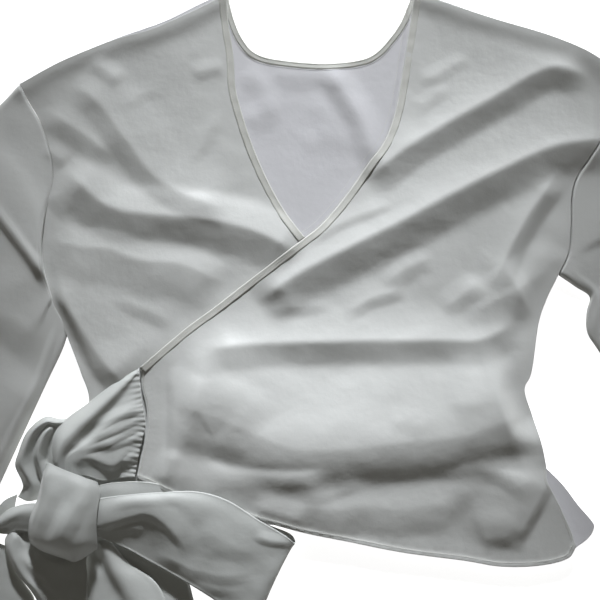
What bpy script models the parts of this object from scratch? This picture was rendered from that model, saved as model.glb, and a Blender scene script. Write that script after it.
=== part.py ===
"""Wrap top in ivory satin, laid flat: every cut piece of cloth is its own closed solid.

Frame: +Z up from the surface the top lies on, +Y towards the neck, +X to the viewer's right.
The origin is on that surface, under the middle of the body.
All tables are in millimetres and become metres when a mesh is made.
"""

import math

import bmesh
import bpy
import numpy as np
from mathutils import Vector
from mathutils.geometry import delaunay_2d_cdt

MM = 0.001

# Driving dimensions, in millimetres.
CLOTH = 1.2            # thickness of one layer of cloth
LAYER_GAP = 0.4        # between two layers that lie on each other
SEAM_GAP = 0.5         # between two pieces sewn edge to edge
BINDING_WIDTH = 7.0    # of the neck binding
BINDING_THICK = 1.0
BINDING_GAP = 0.55      # so that it stays clear of the panel on steep folds
SASH_LIFT = 1.9        # how far the second sash, lying under the back, lifts it
PANEL_PITCH = 25.5     # spacing of a front panel's grid
BACK_PITCH = 42.0
CURVE_STEP = 17.0      # spacing of the points along a cut edge
SLEEVE_ACROSS = 9      # points across a sleeve, and so along each armhole
SLEEVE_ALONG = 12
KNOT_CLEARANCE = 1.1  # cut around each sash end that goes into the knot

BACK_TOP = CLOTH
UNDER_TOP = BACK_TOP + BINDING_GAP + BINDING_THICK + LAYER_GAP + CLOTH
OVER_TOP = UNDER_TOP + 2.2 + CLOTH

IVORY = (0.78, 0.79, 0.76, 1.0)
IVORY_INSIDE = (0.72, 0.72, 0.74, 1.0)
IVORY_TRIM = (0.80, 0.80, 0.74, 1.0)

# Cut edges of the body, each a smooth curve through its points.
BACK_NECK = [(-73, 308), (-66, 280), (-57, 260), (-44, 246.4), (-21, 240), (23, 236.4), (57, 239.3),
             (75, 246.4),
             (90, 262), (102, 280), (113, 308)]
SHOULDER_RIGHT = [(113, 308), (142, 299), (191, 282), (249, 264), (287, 248), (316, 228)]
ARMHOLE_RIGHT = [(316, 228), (306, 200), (299, 163), (287, 141), (275, 122), (270, 103), (269, 75),
                 (267, 48), (257, 25)]
SIDE_RIGHT = [(257, 25), (245, 0), (237, -25), (230, -71), (223, -89), (230, -113), (239, -143), (244, -166)]
BACK_CORNER_RIGHT = [(244, -166), (262, -184), (278, -205), (291, -220), (294, -227), (288, -238),
                     (273.5, -249)]
BACK_HEM = [(273.5, -249), (240, -259), (180, -257), (100, -245), (40, -234), (-10, -226), (-100, -221),
            (-190, -214),
            (-234, -204)]
SIDE_LEFT = [(-234, -204), (-231, -180), (-220, -140), (-210.5, -101), (-219, -72), (-232, -38), (-240, -19),
             (-252, 11),
             (-257.4, 31)]
ARMHOLE_LEFT = [(-257.4, 31), (-259, 55), (-256, 81), (-249, 107), (-246, 128), (-250, 151), (-259, 178),
                (-271, 199),
                (-279, 216)]
SHOULDER_LEFT = [(-279, 216), (-237, 239), (-185, 261), (-137, 278), (-100, 296), (-73, 308)]

# The fronts share those edges, and have these of their own.
FRONT_SHOULDER_LEFT = [(-279, 215), (-237, 238), (-185, 259), (-150, 269), (-115, 284), (-88, 297),
                       (-74, 305)]
UNDER_NECK = [(-74, 305), (-71, 275), (-66, 242), (-64, 211), (-55, 177), (-44, 146), (-30, 115), (-14, 87),
              (5, 62)]
UNDER_WRAP = [(5, 62), (80, 0), (150, -50), (208, -88)]
UNDER_END = [(208, -88), (212, -140), (205, -200)]
UNDER_HEM = [(205, -200), (100, -219), (0, -219), (-100, -215), (-190, -208), (-232, -198)]
UNDER_SIDE = [(-232, -198), (-230, -180), (-219.5, -140), (-210, -101), (-218.5, -72), (-231.5, -38),
              (-239.5, -19), (-251.5, 11),
              (-257, 31)]
FRONT_SHOULDER_RIGHT = [(114, 305), (145, 295), (191, 280), (249, 262.5), (287, 246.5), (316, 227)]
OVER_NECK = [(1, 59), (21, 75), (45, 103), (68, 136), (84, 158), (95, 188), (102, 226), (109, 271),
             (114, 305)]
OVER_WRAP = [(-159, -67), (-136, -47), (-111, -26), (-85, -7), (-58, 14), (-33, 33), (1, 59)]
GATHER_SEAM = [(-162.3, -177), (-159, -159), (-155, -141), (-152, -122), (-153, -105), (-157, -88),
               (-159, -67)]
OVER_HEM = [(274.5, -245), (266, -257), (239, -264), (200, -265), (163, -259), (103, -251), (48, -240),
            (0, -230),
            (-60, -213), (-110, -199), (-162.3, -177)]
OVER_SIDE_SEAM = [(244, -168), (245, -180), (256, -201), (268, -227), (274.5, -245)]

# Folds: the crest's path, its height, and how wide its slope is on the left and on the right of the path.
FOLD_COLUMNS = ("path", "height", "left", "right")
FOLDS_OVER = {
    "shoulder_high": ([(267, 240), (215, 212), (162, 182), (85, 128)], 9, 18, 24),
    "shoulder_low": ([(285, 157), (228, 146), (150, 103), (70, 54), (0, 21)], 12, 25, 28),
    "waist": ([(-85, -38), (0, -46), (120, -45), (195, -41)], 9, 24, 18),
    "belly": ([(-95, -100), (-40, -136), (30, -152), (120, -150), (212, -120)], 17, 62, 30),
    "hem_wave": ([(10, -205), (70, -208), (140, -220)], 4, 22, 20),
    "side_fold": ([(232, 125), (215, 85), (200, 42)], 6, 22, 26),
    "hip": ([(238, -166), (226, -200), (208, -232)], 9, 18, 44),
}
FOLDS_UNDER = {
    "yoke": ([(-213, 208), (-175, 166), (-137, 117), (-60, 80), (-15, 57)], 9, 26, 18),
    "armhole_pleat": ([(-238, 182), (-215, 167), (-190, 145)], 4, 16, 14),
    "chest": ([(-208, 100), (-170, 88), (-85, 81), (-15, 57)], 10, 27, 24),
    "rib": ([(-240, 52), (-190, 44), (-128, 32), (-70, 10)], 5, 22, 26),
    "waist": ([(-205, -35), (-188, -55), (-174, -74)], 4, 22, 14),
}
FOLDS_SLEEVE_LEFT = {
    "bend": ([(-262, 41), (-280, 62), (-296, 86), (-340, 120)], 8, 16, 50),
    "forearm": ([(-270, -30), (-290, -100), (-340, -220)], 5, 28, 28),
}
FOLDS_SLEEVE_RIGHT = {
    "bend": ([(272, 49), (290, 59), (312, 71), (355, 95)], 8, 50, 16),
    "forearm": ([(325, -30), (380, -130), (440, -240)], 5, 28, 28),
}

# Sleeves: the long edges and the cuff. The armhole end follows the body's armhole.
SLEEVE_LEFT_OUTER = [(-279.6, 215.6), (-300, 194), (-342, 154), (-385, 85), (-422, -10), (-452, -110),
                     (-478, -200),
                     (-496, -284)]
SLEEVE_LEFT_INNER = [(-258.5, 30), (-255, 10), (-244.5, -20), (-237, -40), (-257, -92), (-300, -185),
                     (-336, -263),
                     (-372, -342)]
SLEEVE_RIGHT_OUTER = [(316.8, 227.4), (355, 202), (402, 150), (445, 65), (485, -35), (522, -140), (550, -220),
                      (568, -275)]
SLEEVE_RIGHT_INNER = [(258, 24.5), (275, 13), (289, 3), (286, -12), (287, -33), (300, -54), (340, -120),
                      (390, -210), (445, -332)]
CUFF_LEFT = [(-496, -284), (-436, -318), (-372, -342)]
CUFF_RIGHT = [(568, -275), (508, -308), (445, -332)]
SLEEVE_EDGE_TOP = 4.0   # height of the upper layer along its folded edges
SLEEVE_LOFT = 3.0       # how much higher it is along the middle

# Sash stretches: a row for each section along the sash, with a point for each place across it.
SASH_GATHER = [
    [(-159.9, -68, 9), (-159.7, -70, 11), (-159.3, -73, 11), (-157.2, -98, 12), (-153.4, -121, 12),
     (-156.6, -140, 12),
     (-161, -159, 11), (-164, -176, 9.5)],
    [(-185, -83, 8.5), (-179, -88, 15), (-172, -92, 12), (-168, -108, 15), (-166, -124, 13),
     (-169, -146, 14), (-172, -162, 12),
     (-174, -176.5, 9.5)],
    [(-210, -102, 8.5), (-201, -109, 19), (-192, -115, 14), (-187, -124, 17), (-183, -137, 16),
     (-183, -160, 16), (-185, -170, 12),
     (-187, -179, 10)],
    [(-232, -118, 8.5), (-220, -126, 22), (-208, -132, 15), (-204, -138, 18), (-200, -146, 17),
     (-200, -157, 17), (-199, -168, 14),
     (-197, -179, 12)],
    [(-244, -134, 12), (-233, -140, 25), (-221, -144, 19), (-217, -147, 20), (-215, -151, 20),
     (-214, -157, 20), (-212, -166, 17),
     (-208, -175, 15)],
    [(-244, -155, 16), (-238, -156, 24), (-231, -155, 21), (-228, -156, 21), (-225, -159, 21),
     (-223, -163, 20), (-220, -168, 18),
     (-216, -174, 16)],
    [(-240, -176, 16), (-236, -176, 20), (-232, -176, 19), (-229, -176, 19), (-226, -177, 19),
     (-224, -178, 18), (-221, -180, 17),
     (-218, -183, 15)],
]
SASH_TURN = [
    [(-226, -120, 6.2), (-227, -125, 6.4), (-228, -130, 6.4), (-229, -135, 6.4), (-230, -139, 6.4)],
    [(-253, -116.5, 6), (-248, -121, 10), (-245, -126, 7), (-243, -130, 5), (-241, -135, 3)],
    [(-271, -129, 9), (-264, -130, 17), (-256, -133, 12), (-251, -134, 14), (-248, -139, 6)],
    [(-281, -150, 8), (-273, -147, 18), (-263, -146, 11), (-256, -147, 14), (-251, -149, 6)],
    [(-283, -164, 7), (-275, -162, 17), (-264, -159, 9), (-258, -159, 12), (-252, -160, 6)],
    [(-278, -180, 6), (-269, -176, 14), (-259, -170, 7), (-254, -168, 8), (-250, -169, 5)],
    [(-278, -193, 5), (-267, -189, 8), (-257, -184, 5.5), (-252, -182, 5.5), (-247, -180, 5)],
]
LOOP_LEFT = [
    [(-250, -203, 17), (-250, -211, 18), (-251, -220, 16), (-253, -228, 13)],
    [(-262, -201, 15), (-264, -209, 18), (-266, -220, 16), (-267, -230, 13)],
    [(-276, -196, 11), (-277, -207, 15), (-279, -218, 14), (-280, -229, 12)],
    [(-292, -211, 9), (-292, -217, 13), (-292, -225, 12), (-292, -233.5, 10)],
    [(-306, -219, 6), (-307, -222, 8), (-307, -226, 8), (-306, -230, 6)],
    [(-310.5, -218, 3.8), (-311, -221, 4.3), (-311, -225, 4.3), (-310.5, -229, 3.8)],
    [(-306, -213, 2), (-307, -217, 2.2), (-307, -222, 2.2), (-306, -227, 2)],
    [(-295, -200, 2.4), (-296, -207, 3.4), (-297, -215, 3.4), (-298, -223, 2.4)],
    [(-282, -193.5, 2.4), (-284, -204, 3.4), (-285, -214, 3.4), (-287, -223, 2.4)],
]
TAIL_LEFT = [
    [(-260, -230, 13), (-250, -234, 15), (-238, -236, 15.5), (-220, -238, 15)],
    [(-280, -230, 7), (-266, -243, 13), (-248, -252, 12), (-214, -256, 10)],
    [(-294, -243, 4), (-276, -254, 15), (-252, -266, 11), (-212, -268, 8)],
    [(-281, -275, 3.6), (-266, -277, 13), (-242, -284, 9), (-212, -290, 6.5)],
    [(-264, -298, 5), (-250, -303, 11), (-232, -308, 8), (-210, -312, 5.5)],
    [(-252, -350, 3.6), (-234, -352, 9), (-216, -352, 6), (-196, -350, 4)],
    [(-260, -442, 2), (-230, -446, 4), (-195, -446, 5), (-162, -442, 2)],
]
TAIL_FAR = [
    [(-306, -241, 1.5), (-292, -246, 2.2), (-280, -253, 2.4)],
    [(-322, -260, 1.5), (-300, -270, 3), (-276, -280, 1.8)],
    [(-334, -300, 1.5), (-300, -305, 4), (-264, -304, 2)],
    [(-344, -360, 1.5), (-308, -364, 3.5), (-266, -364, 2)],
]
TAIL_RIGHT = [
    [(-226, -224, 12), (-221, -225, 12), (-216, -226, 12), (-212, -226, 12), (-209, -225, 12)],
    [(-210, -260, 5.5), (-204, -260, 5.8), (-196, -256, 6.5), (-188, -252, 9), (-178, -248, 5)],
    [(-210, -280, 4.5), (-198, -280, 4.6), (-183, -275, 6.5), (-165, -268, 9), (-142, -274, 4)],
    [(-210, -302, 4), (-192, -302, 4.4), (-170, -296, 7), (-152, -292, 9), (-134, -290, 4)],
    [(-194, -350, 3), (-178, -350, 5), (-156, -348, 6), (-137, -346, 8), (-118, -344, 4)],
    [(-158, -418, 1.6), (-134, -422, 2), (-110, -424, 4), (-88, -422, 4), (-66, -416, 1.6)],
]
TAIL_UNDER = [
    [(-150, -260, 1.9), (-128, -268, 1.9), (-110, -279, 1.4)],
    [(-149, -280, 1.9), (-127, -285, 2.2), (-107, -290, 1.4)],
    [(-143, -302, 1.9), (-122, -306, 2.4), (-105, -306, 1.4)],
    [(-126, -352, 1.9), (-104, -354, 2.4), (-86, -352, 1.4)],
]
BOW_LOOP = [
    [(-210, -196, 19), (-210, -205, 21), (-210, -213, 20), (-210, -220, 17), (-209, -229, 14)],
    [(-198, -195, 19), (-198, -207, 24), (-199, -222, 21), (-199, -227, 15), (-200, -234, 12)],
    [(-174, -192, 18), (-172, -200, 25), (-170, -213, 22), (-173, -230, 13), (-175, -245, 11)],
    [(-143, -189.5, 18), (-142, -198, 26), (-144, -213, 23), (-149, -239, 13), (-152, -258, 10)],
    [(-103, -188.5, 17), (-104, -204, 25), (-114, -240, 18), (-116, -262, 13), (-114, -279, 10)],
    [(-72, -197, 17), (-74, -216, 23), (-80, -246, 18), (-83, -271, 14), (-86, -297, 10)],
    [(-42, -216, 16), (-44, -233, 21), (-51, -261, 17), (-57, -288, 14), (-64, -314, 10)],
    [(-16, -232, 13), (-21, -248, 15), (-29, -269, 14), (-39, -292, 13), (-50, -320, 9)],
    [(-5, -241.5, 8), (-10, -249, 9), (-20, -268, 9), (-31, -292, 8), (-43, -322, 6)],
    [(-10, -233, 3.5), (-19, -249, 3.5), (-28, -269, 3.5), (-39, -292, 3.5), (-49, -319, 3)],
    [(-36, -221, 9.8), (-50, -240, 7), (-57, -265, 5), (-64, -288, 3), (-71, -310, 2.4)],
    [(-78, -199, 10), (-84, -220, 9), (-92, -245, 8), (-100, -265, 5), (-105, -282, 4.4)],
    [(-115, -190, 10), (-119, -205, 10), (-124, -225, 9), (-128, -240, 7.5), (-132, -256, 7)],
    [(-147, -181, 11), (-150, -195, 12), (-154, -210, 12), (-158, -225, 10), (-160, -240, 8)],
    [(-175, -180, 13), (-178, -190, 15), (-182, -202, 15), (-185, -215, 13), (-187, -229, 9.5)],
    [(-196, -182.5, 15), (-197, -190, 16), (-198, -199, 15), (-199, -209, 14), (-200, -218, 11)],
    [(-208, -188, 14), (-209, -193, 15), (-210, -199, 14), (-210, -205, 13), (-211, -212, 11)],
]
KNOT_BAND = [
    [(-242, -164, 22), (-238, -163.5, 28), (-224, -169, 30), (-209, -175, 29), (-198, -181.5, 23)],
    [(-250, -176, 18), (-244, -175, 33), (-225, -181, 38), (-208, -187, 36), (-197, -191, 24)],
    [(-257, -194, 19), (-249, -195, 35), (-229, -200, 42), (-210, -204, 38), (-198, -207, 26)],
    [(-265, -213, 20), (-255, -214, 34), (-234, -220, 43), (-212, -222, 38), (-200, -224, 25)],
    [(-267, -230, 18), (-257, -232, 30), (-236, -238, 38), (-214, -238, 33), (-201, -240, 19)],
    [(-263, -240, 16), (-253, -245, 20), (-234, -252.5, 24), (-216, -252, 21), (-203, -247, 15)],
]
KNOT_CORE = {"centre": (-230, -210, 19.2), "radii": (27, 38, 14), "turn": math.radians(8)}
SASH_RUN = [
    [(208, -72, 0), (208, -92, 0), (208, -112, 0)],
    [(100, -66, 0), (100, -96, 0), (100, -126, 0)],
    [(-50, -72, 0), (-50, -102, 0), (-50, -132, 0)],
    [(-204, -108, 0), (-204, -124, 0), (-204, -140, 0)],
]


def material(name, colour, roughness):
    made = bpy.data.materials.new(name)
    made.use_nodes = True
    shader = made.node_tree.nodes["Principled BSDF"]
    shader.inputs["Base Color"].default_value = colour
    shader.inputs["Roughness"].default_value = roughness
    shader.inputs["Metallic"].default_value = 0.0
    return made


def add_object(name, vertices, faces, finish):
    """A named object from points in millimetres. Faces are turned outwards."""
    mesh = bpy.data.meshes.new(name)
    mesh.from_pydata([tuple(c * MM for c in v) for v in vertices], [], faces)
    work = bmesh.new()
    work.from_mesh(mesh)
    bmesh.ops.recalc_face_normals(work, faces=work.faces)
    work.to_mesh(mesh)
    work.free()
    mesh.shade_smooth()
    mesh.set_sharp_from_angle(angle=math.radians(40))
    mesh.materials.append(finish)
    made = bpy.data.objects.new(name, mesh)
    bpy.context.scene.collection.objects.link(made)
    return made


def through(points, t):
    """The point at t, from 0 to 1, on a Catmull-Rom curve through equally weighted points."""
    pts = np.asarray(points, float)
    place = np.clip(t, 0, 1) * (len(pts) - 1)
    i = np.minimum(place.astype(int), len(pts) - 2)
    f = (place - i)[:, None]
    a = np.where((i > 0)[:, None], pts[np.maximum(i - 1, 0)], 2 * pts[0] - pts[1])
    d = np.where((i < len(pts) - 2)[:, None], pts[np.minimum(i + 2, len(pts) - 1)], 2 * pts[-1] - pts[-2])
    b, c = pts[i], pts[i + 1]
    return b + 0.5 * f * (c - a + f * (2 * a - 5 * b + 4 * c - d + f * (3 * (b - c) + d - a)))


def curve(points, step=CURVE_STEP, count=None):
    """Points about `step` apart, or `count` points, evenly along the smooth curve through `points`."""
    fine = through(points, np.linspace(0, 1, 40 * len(points)))
    along = np.concatenate([[0], np.cumsum(np.linalg.norm(np.diff(fine, axis=0), axis=1))])
    n = count or max(2, round(along[-1] / step) + 1)
    marks = np.linspace(0, along[-1], n)
    return np.column_stack([np.interp(marks, along, fine[:, k]) for k in range(fine.shape[1])])


def outline_of(edges, step=CURVE_STEP):
    """One closed outline from edges that follow each other, without repeating their shared ends."""
    counts = [SLEEVE_ACROSS if edge in (ARMHOLE_LEFT, ARMHOLE_RIGHT) else None for edge in edges]
    return np.concatenate([curve(edge, step, count)[:-1] for edge, count in zip(edges, counts)])


def distance_to(points, line):
    """For each point: its distance to a polyline, which side of it the point is on, and how far along it is."""
    points = np.asarray(points, float)[:, None, :]
    a, b = np.asarray(line[:-1])[None], np.asarray(line[1:])[None]
    span = b - a
    t = np.clip(((points - a) * span).sum(2) / (span**2).sum(2), 0, 1)
    away = points - (a + t[..., None] * span)
    gap = np.linalg.norm(away, axis=2)
    best = gap.argmin(1)
    rows = np.arange(len(best))
    side = span[0, best, 0] * away[rows, best, 1] - span[0, best, 1] * away[rows, best, 0]
    return gap[rows, best], side, (best + t[rows, best]) / (len(line) - 1)


def smooth(x):
    x = np.clip(x, 0, 1)
    return x * x * (3 - 2 * x)


def fold_height(points, folds):
    """The height that a table of folds adds at each point. A fold rises and dies away along its path."""
    total = np.zeros(len(points))
    for row in folds.values():
        fold = dict(zip(FOLD_COLUMNS, row))
        gap, side, along = distance_to(points, curve(fold["path"], count=13))
        width = np.where(side > 0, fold["left"], fold["right"])
        ends = smooth(np.minimum(along, 1 - along) * 4 + 0.15)
        total += fold["height"] * np.exp(-((gap / width) ** 2) * 1.6) * ends
    return total


def inside(points, outline):
    """Which points lie inside a closed outline."""
    x, y = np.asarray(points, float).T
    x0, y0 = outline.T
    x1, y1 = np.roll(outline, -1, axis=0).T
    crosses = (y0[None] > y[:, None]) != (y1[None] > y[:, None])
    rise = np.where(y1 == y0, 1e-9, y1 - y0)
    at = (x1 - x0)[None] * (y[:, None] - y0[None]) / rise[None] + x0[None]
    return (crosses & (x[:, None] < at)).sum(1) % 2 == 1


def grid_inside(outline, pitch, clear, lines=()):
    """Staggered grid points inside an outline, none closer than `clear` to it or to the given lines."""
    low, high = outline.min(0), outline.max(0)
    rows = np.arange(low[1], high[1], pitch * 0.87)
    points = [(x + (pitch / 2 if r % 2 else 0), y) for r, y in enumerate(rows) for x in np.arange(low[0],
                                                                                                  high[0], pitch)]
    points = np.array(points)
    points = points[inside(points, outline)]
    for line in [np.vstack([outline, outline[:1]]), *lines]:
        points = points[distance_to(points, line)[0] > clear]
    return points


def wall(name, flat, faces, edges, bottom, top, finish):
    """A closed wall of cloth between two heights over the same flat triangles."""
    n = len(flat)
    vertices = [(*p, z) for p, z in zip(flat, bottom)] + [(*p, z) for p, z in zip(flat, top)]
    sides = [(a, b, b + n, a + n) for a, b in edges]
    lower = [tuple(reversed(f)) for f in faces]
    upper = [tuple(i + n for i in f) for f in faces]
    return add_object(name, vertices, lower + upper + sides, finish)


def border(faces):
    """The edges of a flat mesh that only one triangle has, in that triangle's order."""
    pairs = [(f[k], f[(k + 1) % 3]) for f in faces for k in range(3)]
    known = set(pairs)
    return [(a, b) for a, b in pairs if (b, a) not in known]


def panel(name, outline, top_of, finish, pitch=PANEL_PITCH, strip=None):
    """A cut panel: its outline filled with triangles, then given its height and its thickness.

    `strip` is an edge and the line inside it that a binding covers: both get the binding's own triangles.
    """
    points = [Vector(p) for p in outline]
    edges = [(i, (i + 1) % len(outline)) for i in range(len(outline))]
    lines = []
    if strip:
        edge, inner = strip
        lines = [inner[1:-1]]
        at = [int(np.linalg.norm(outline - p, axis=1).argmin()) for p in edge]
        first = len(points) - 1
        points += [Vector(p) for p in inner[1:-1]]
        last = len(edge) - 1
        edges += [(first + i, first + i + 1) for i in range(1, last - 1)]
        edges += [(at[i], first + i) for i in range(1, last)] + [(at[i], first + i + 1) for i in range(1,
                                                                                                       last - 1)]
    points += [Vector(p) for p in grid_inside(outline, pitch, pitch * 0.45, lines)]
    flat, _, faces, _, _, _ = delaunay_2d_cdt(points, edges, [], 1, 1e-4)
    flat = np.array([tuple(p) for p in flat])
    faces = [tuple(f) for f in faces]
    top = top_of(flat)
    return wall(name, flat, faces, border(faces), top - CLOTH, top, finish)


def offset_line(line, distance):
    """The line moved sideways by `distance`, to the left of its direction."""
    ahead = np.gradient(np.asarray(line, float), axis=0)
    ahead /= np.linalg.norm(ahead, axis=1)[:, None]
    return np.asarray(line) + distance * np.column_stack([-ahead[:, 1], ahead[:, 0]])


def binding(name, line, inner, top_of, finish):
    """A strip along a cut edge, lying on the panel between the edge and the line inside it."""
    flat = np.concatenate([line, inner])
    n = len(line)
    faces = [f for i in range(n - 1) for f in ((i, i + 1, n + i + 1), (i, n + i + 1, n + i))]
    if np.cross(line[1] - line[0], inner[0] - line[0]) < 0:
        faces = [tuple(reversed(f)) for f in faces]
    base = top_of(flat) + BINDING_GAP
    return wall(name, flat, faces, border(faces), base, base + BINDING_THICK, finish)


def closed_grid(name, lower, upper, finish):
    """A closed solid between two grids of the same size."""
    rows, columns = lower.shape[:2]
    size = rows * columns
    vertices = list(map(tuple, lower.reshape(-1, 3))) + list(map(tuple, upper.reshape(-1, 3)))
    faces = []
    for i in range(rows - 1):
        for j in range(columns - 1):
            a, b = i * columns + j, (i + 1) * columns + j
            faces.append((a, a + 1, b + 1, b))
            faces.append((size + a, size + b, size + b + 1, size + a + 1))
    rim = [(i, 0) for i in range(rows)] + [(rows - 1, j) for j in range(1, columns)]
    rim += [(i, columns - 1) for i in range(rows - 2, -1, -1)] + [(0, j) for j in range(columns - 2, 0, -1)]
    rim = [i * columns + j for i, j in rim]
    faces += [(a, b, b + size, a + size) for a, b in zip(rim, rim[1:] + rim[:1])]
    return add_object(name, vertices, faces, finish)


def lofted(table, along, across):
    """A smooth grid of points through the sections of a table."""
    sections = np.array(table, float)
    t_across, t_along = np.linspace(0, 1, across), np.linspace(0, 1, along)
    wide = np.array([through(row, t_across) for row in sections])
    return np.array([through(wide[:, k], t_along) for k in range(across)]).transpose(1, 0, 2)


def sash(name, table, along, across, finish, clear=0.0):
    """One stretch of a sash: the table's surface is its middle, and the cloth lies on both sides of it.

    With `clear` the piece is larger by that much all round, to cut a space for it.
    """
    middle = lofted(table, along, across)
    for grid in (middle, middle.transpose(1, 0, 2)):
        for end, next_in in ((0, 1), (-1, -2)):
            out = grid[end] - grid[next_in]
            grid[end] += clear * out / np.maximum(np.linalg.norm(out, axis=1, keepdims=True), 1e-9)
    thick = CLOTH + 2 * clear
    du, dv = np.gradient(middle, axis=0), np.gradient(middle, axis=1)
    normal = np.cross(du, dv)
    normal /= np.maximum(np.linalg.norm(normal, axis=2, keepdims=True), 1e-9)
    return closed_grid(name, middle - normal * thick / 2, middle + normal * thick / 2, finish)


def sleeve(name, armhole, outer, inner, cuff, folds, finish):
    """A flattened tube, open at the armhole and at the cuff, with a lower and an upper layer."""
    along, across = SLEEVE_ALONG, SLEEVE_ACROSS
    a, c = armhole, curve(cuff, count=across)
    o, i = curve(outer, count=along), curve(inner, count=along)
    u = np.linspace(0, 1, across)[None, :, None]
    v = np.linspace(0, 1, along)[:, None, None]
    plan = (1 - v) * a[None] + v * c[None] + (1 - u) * o[:, None] + u * i[:, None]
    plan -= (1 - v) * ((1 - u) * a[0] + u * a[-1]) + v * ((1 - u) * c[0] + u * c[-1])
    flat = plan.reshape(-1, 2)
    edge = np.sin(np.pi * np.tile(np.linspace(0, 1, across), along)) ** 0.6
    top = SLEEVE_EDGE_TOP + edge * (SLEEVE_LOFT + fold_height(flat, folds))
    top = top.reshape(along, across)
    centre = plan.mean(1, keepdims=True)
    width = np.linalg.norm(plan[:, -1] - plan[:, 0], axis=1)[:, None, None]
    within = centre + (plan - centre) * (1 - 2 * CLOTH / width)

    def ring(points, low, high):
        under = np.concatenate([points, np.full((along, across, 1), low)], axis=2)
        over = np.concatenate([points, high[..., None]], axis=2)
        return np.concatenate([under, over[:, ::-1]], axis=1)

    outside, hollow = ring(plan, 0.0, top), ring(within, CLOTH, top - CLOTH)
    n = 2 * across
    vertices = list(map(tuple, outside.reshape(-1, 3))) + list(map(tuple, hollow.reshape(-1, 3)))
    faces = []
    for s in range(along - 1):
        for k in range(n):
            p, q = s * n + k, s * n + (k + 1) % n
            faces.append((p, q, q + n, p + n))
            faces.append((along * n + p, along * n + p + n, along * n + q + n, along * n + q))
    for s in (0, along - 1):
        for k in range(n):
            p, q = s * n + k, s * n + (k + 1) % n
            faces.append((p, q, along * n + q, along * n + p))
    return add_object(name, vertices, faces, finish)


def back_top(points):
    """The back lies flat, apart from the stretch that the second sash lifts."""
    run = lofted(SASH_RUN, 25, 3)
    x = np.clip(points[:, 0], run[:, 1, 0].min(), run[:, 1, 0].max())
    order = run[:, 1, 0].argsort()
    upper = np.interp(x, run[order, 0, 0], run[order, 0, 1])
    lower = np.interp(x, run[order, 2, 0], run[order, 2, 1])
    beyond = np.maximum(points[:, 1] - upper, lower - points[:, 1])
    ends = smooth((points[:, 0] - run[order[0], 1, 0]) / 60 + 1.2) * smooth((run[order[-1], 1, 0] - points[:,
                                                                                                           0]) / 60 + 1.2)
    return BACK_TOP + SASH_LIFT * smooth(1 - (beyond - 26) / 44) * ends


def closed_edges(*edges):
    return [curve(edge, 8) for edge in edges]


def edge_fade(points, edges, reach=22.0, least=0.12):
    """Cloth is held down along its seams: 1 away from them, `least` on them."""
    gap = np.min([distance_to(points, line)[0] for line in edges], axis=0)
    return least + (1 - least) * smooth(gap / reach)


UNDER_HELD = closed_edges(FRONT_SHOULDER_LEFT, UNDER_SIDE)
OVER_HELD = closed_edges(FRONT_SHOULDER_RIGHT, SIDE_RIGHT)
WRAP_LINE = curve(OVER_WRAP + OVER_NECK[1:], 8)


def under_folds(points):
    """The under front's folds, which die away once they are well under the over front."""
    gap, side, _ = distance_to(points, WRAP_LINE)
    covered = np.where(side < 0, gap, 0.0)
    return fold_height(points, FOLDS_UNDER) * edge_fade(points, UNDER_HELD) * smooth(1 - covered / 24)


def lift_of_sash(points):
    return back_top(points) - BACK_TOP


def under_top(points):
    return UNDER_TOP + lift_of_sash(points) + under_folds(points)


def over_top(points):
    return OVER_TOP + lift_of_sash(points) + under_folds(points) + (
        fold_height(points, FOLDS_OVER) * edge_fade(points, OVER_HELD))


def knot_core(cutters, finish):
    """The wound cloth inside the knot, as one rounded solid, cut clear of each sash end that goes into it."""
    work = bmesh.new()
    bmesh.ops.create_icosphere(work, subdivisions=2, radius=1.02)
    cos, sin = math.cos(KNOT_CORE["turn"]), math.sin(KNOT_CORE["turn"])
    cx, cy, cz = KNOT_CORE["centre"]
    rx, ry, rz = KNOT_CORE["radii"]
    for v in work.verts:
        x, y, z = v.co.x * rx, v.co.y * ry, v.co.z * rz
        v.co = Vector((cx + x * cos - y * sin, cy + x * sin + y * cos, cz + z)) * MM
    mesh = bpy.data.meshes.new("knot_core")
    work.to_mesh(mesh)
    work.free()
    mesh.materials.append(finish)
    core = bpy.data.objects.new("knot_core", mesh)
    bpy.context.scene.collection.objects.link(core)
    for number, (table, along, across) in enumerate(cutters):
        cutter = sash(f"knot_cutter_{number}", table, along, across, finish, KNOT_CLEARANCE)
        cutter.hide_render = True
        cutter.display_type = "WIRE"
        cut = core.modifiers.new(f"cut_{number}", "BOOLEAN")
        cut.operation = "DIFFERENCE"
        cut.solver = "EXACT"
        cut.object = cutter
    return core


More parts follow.
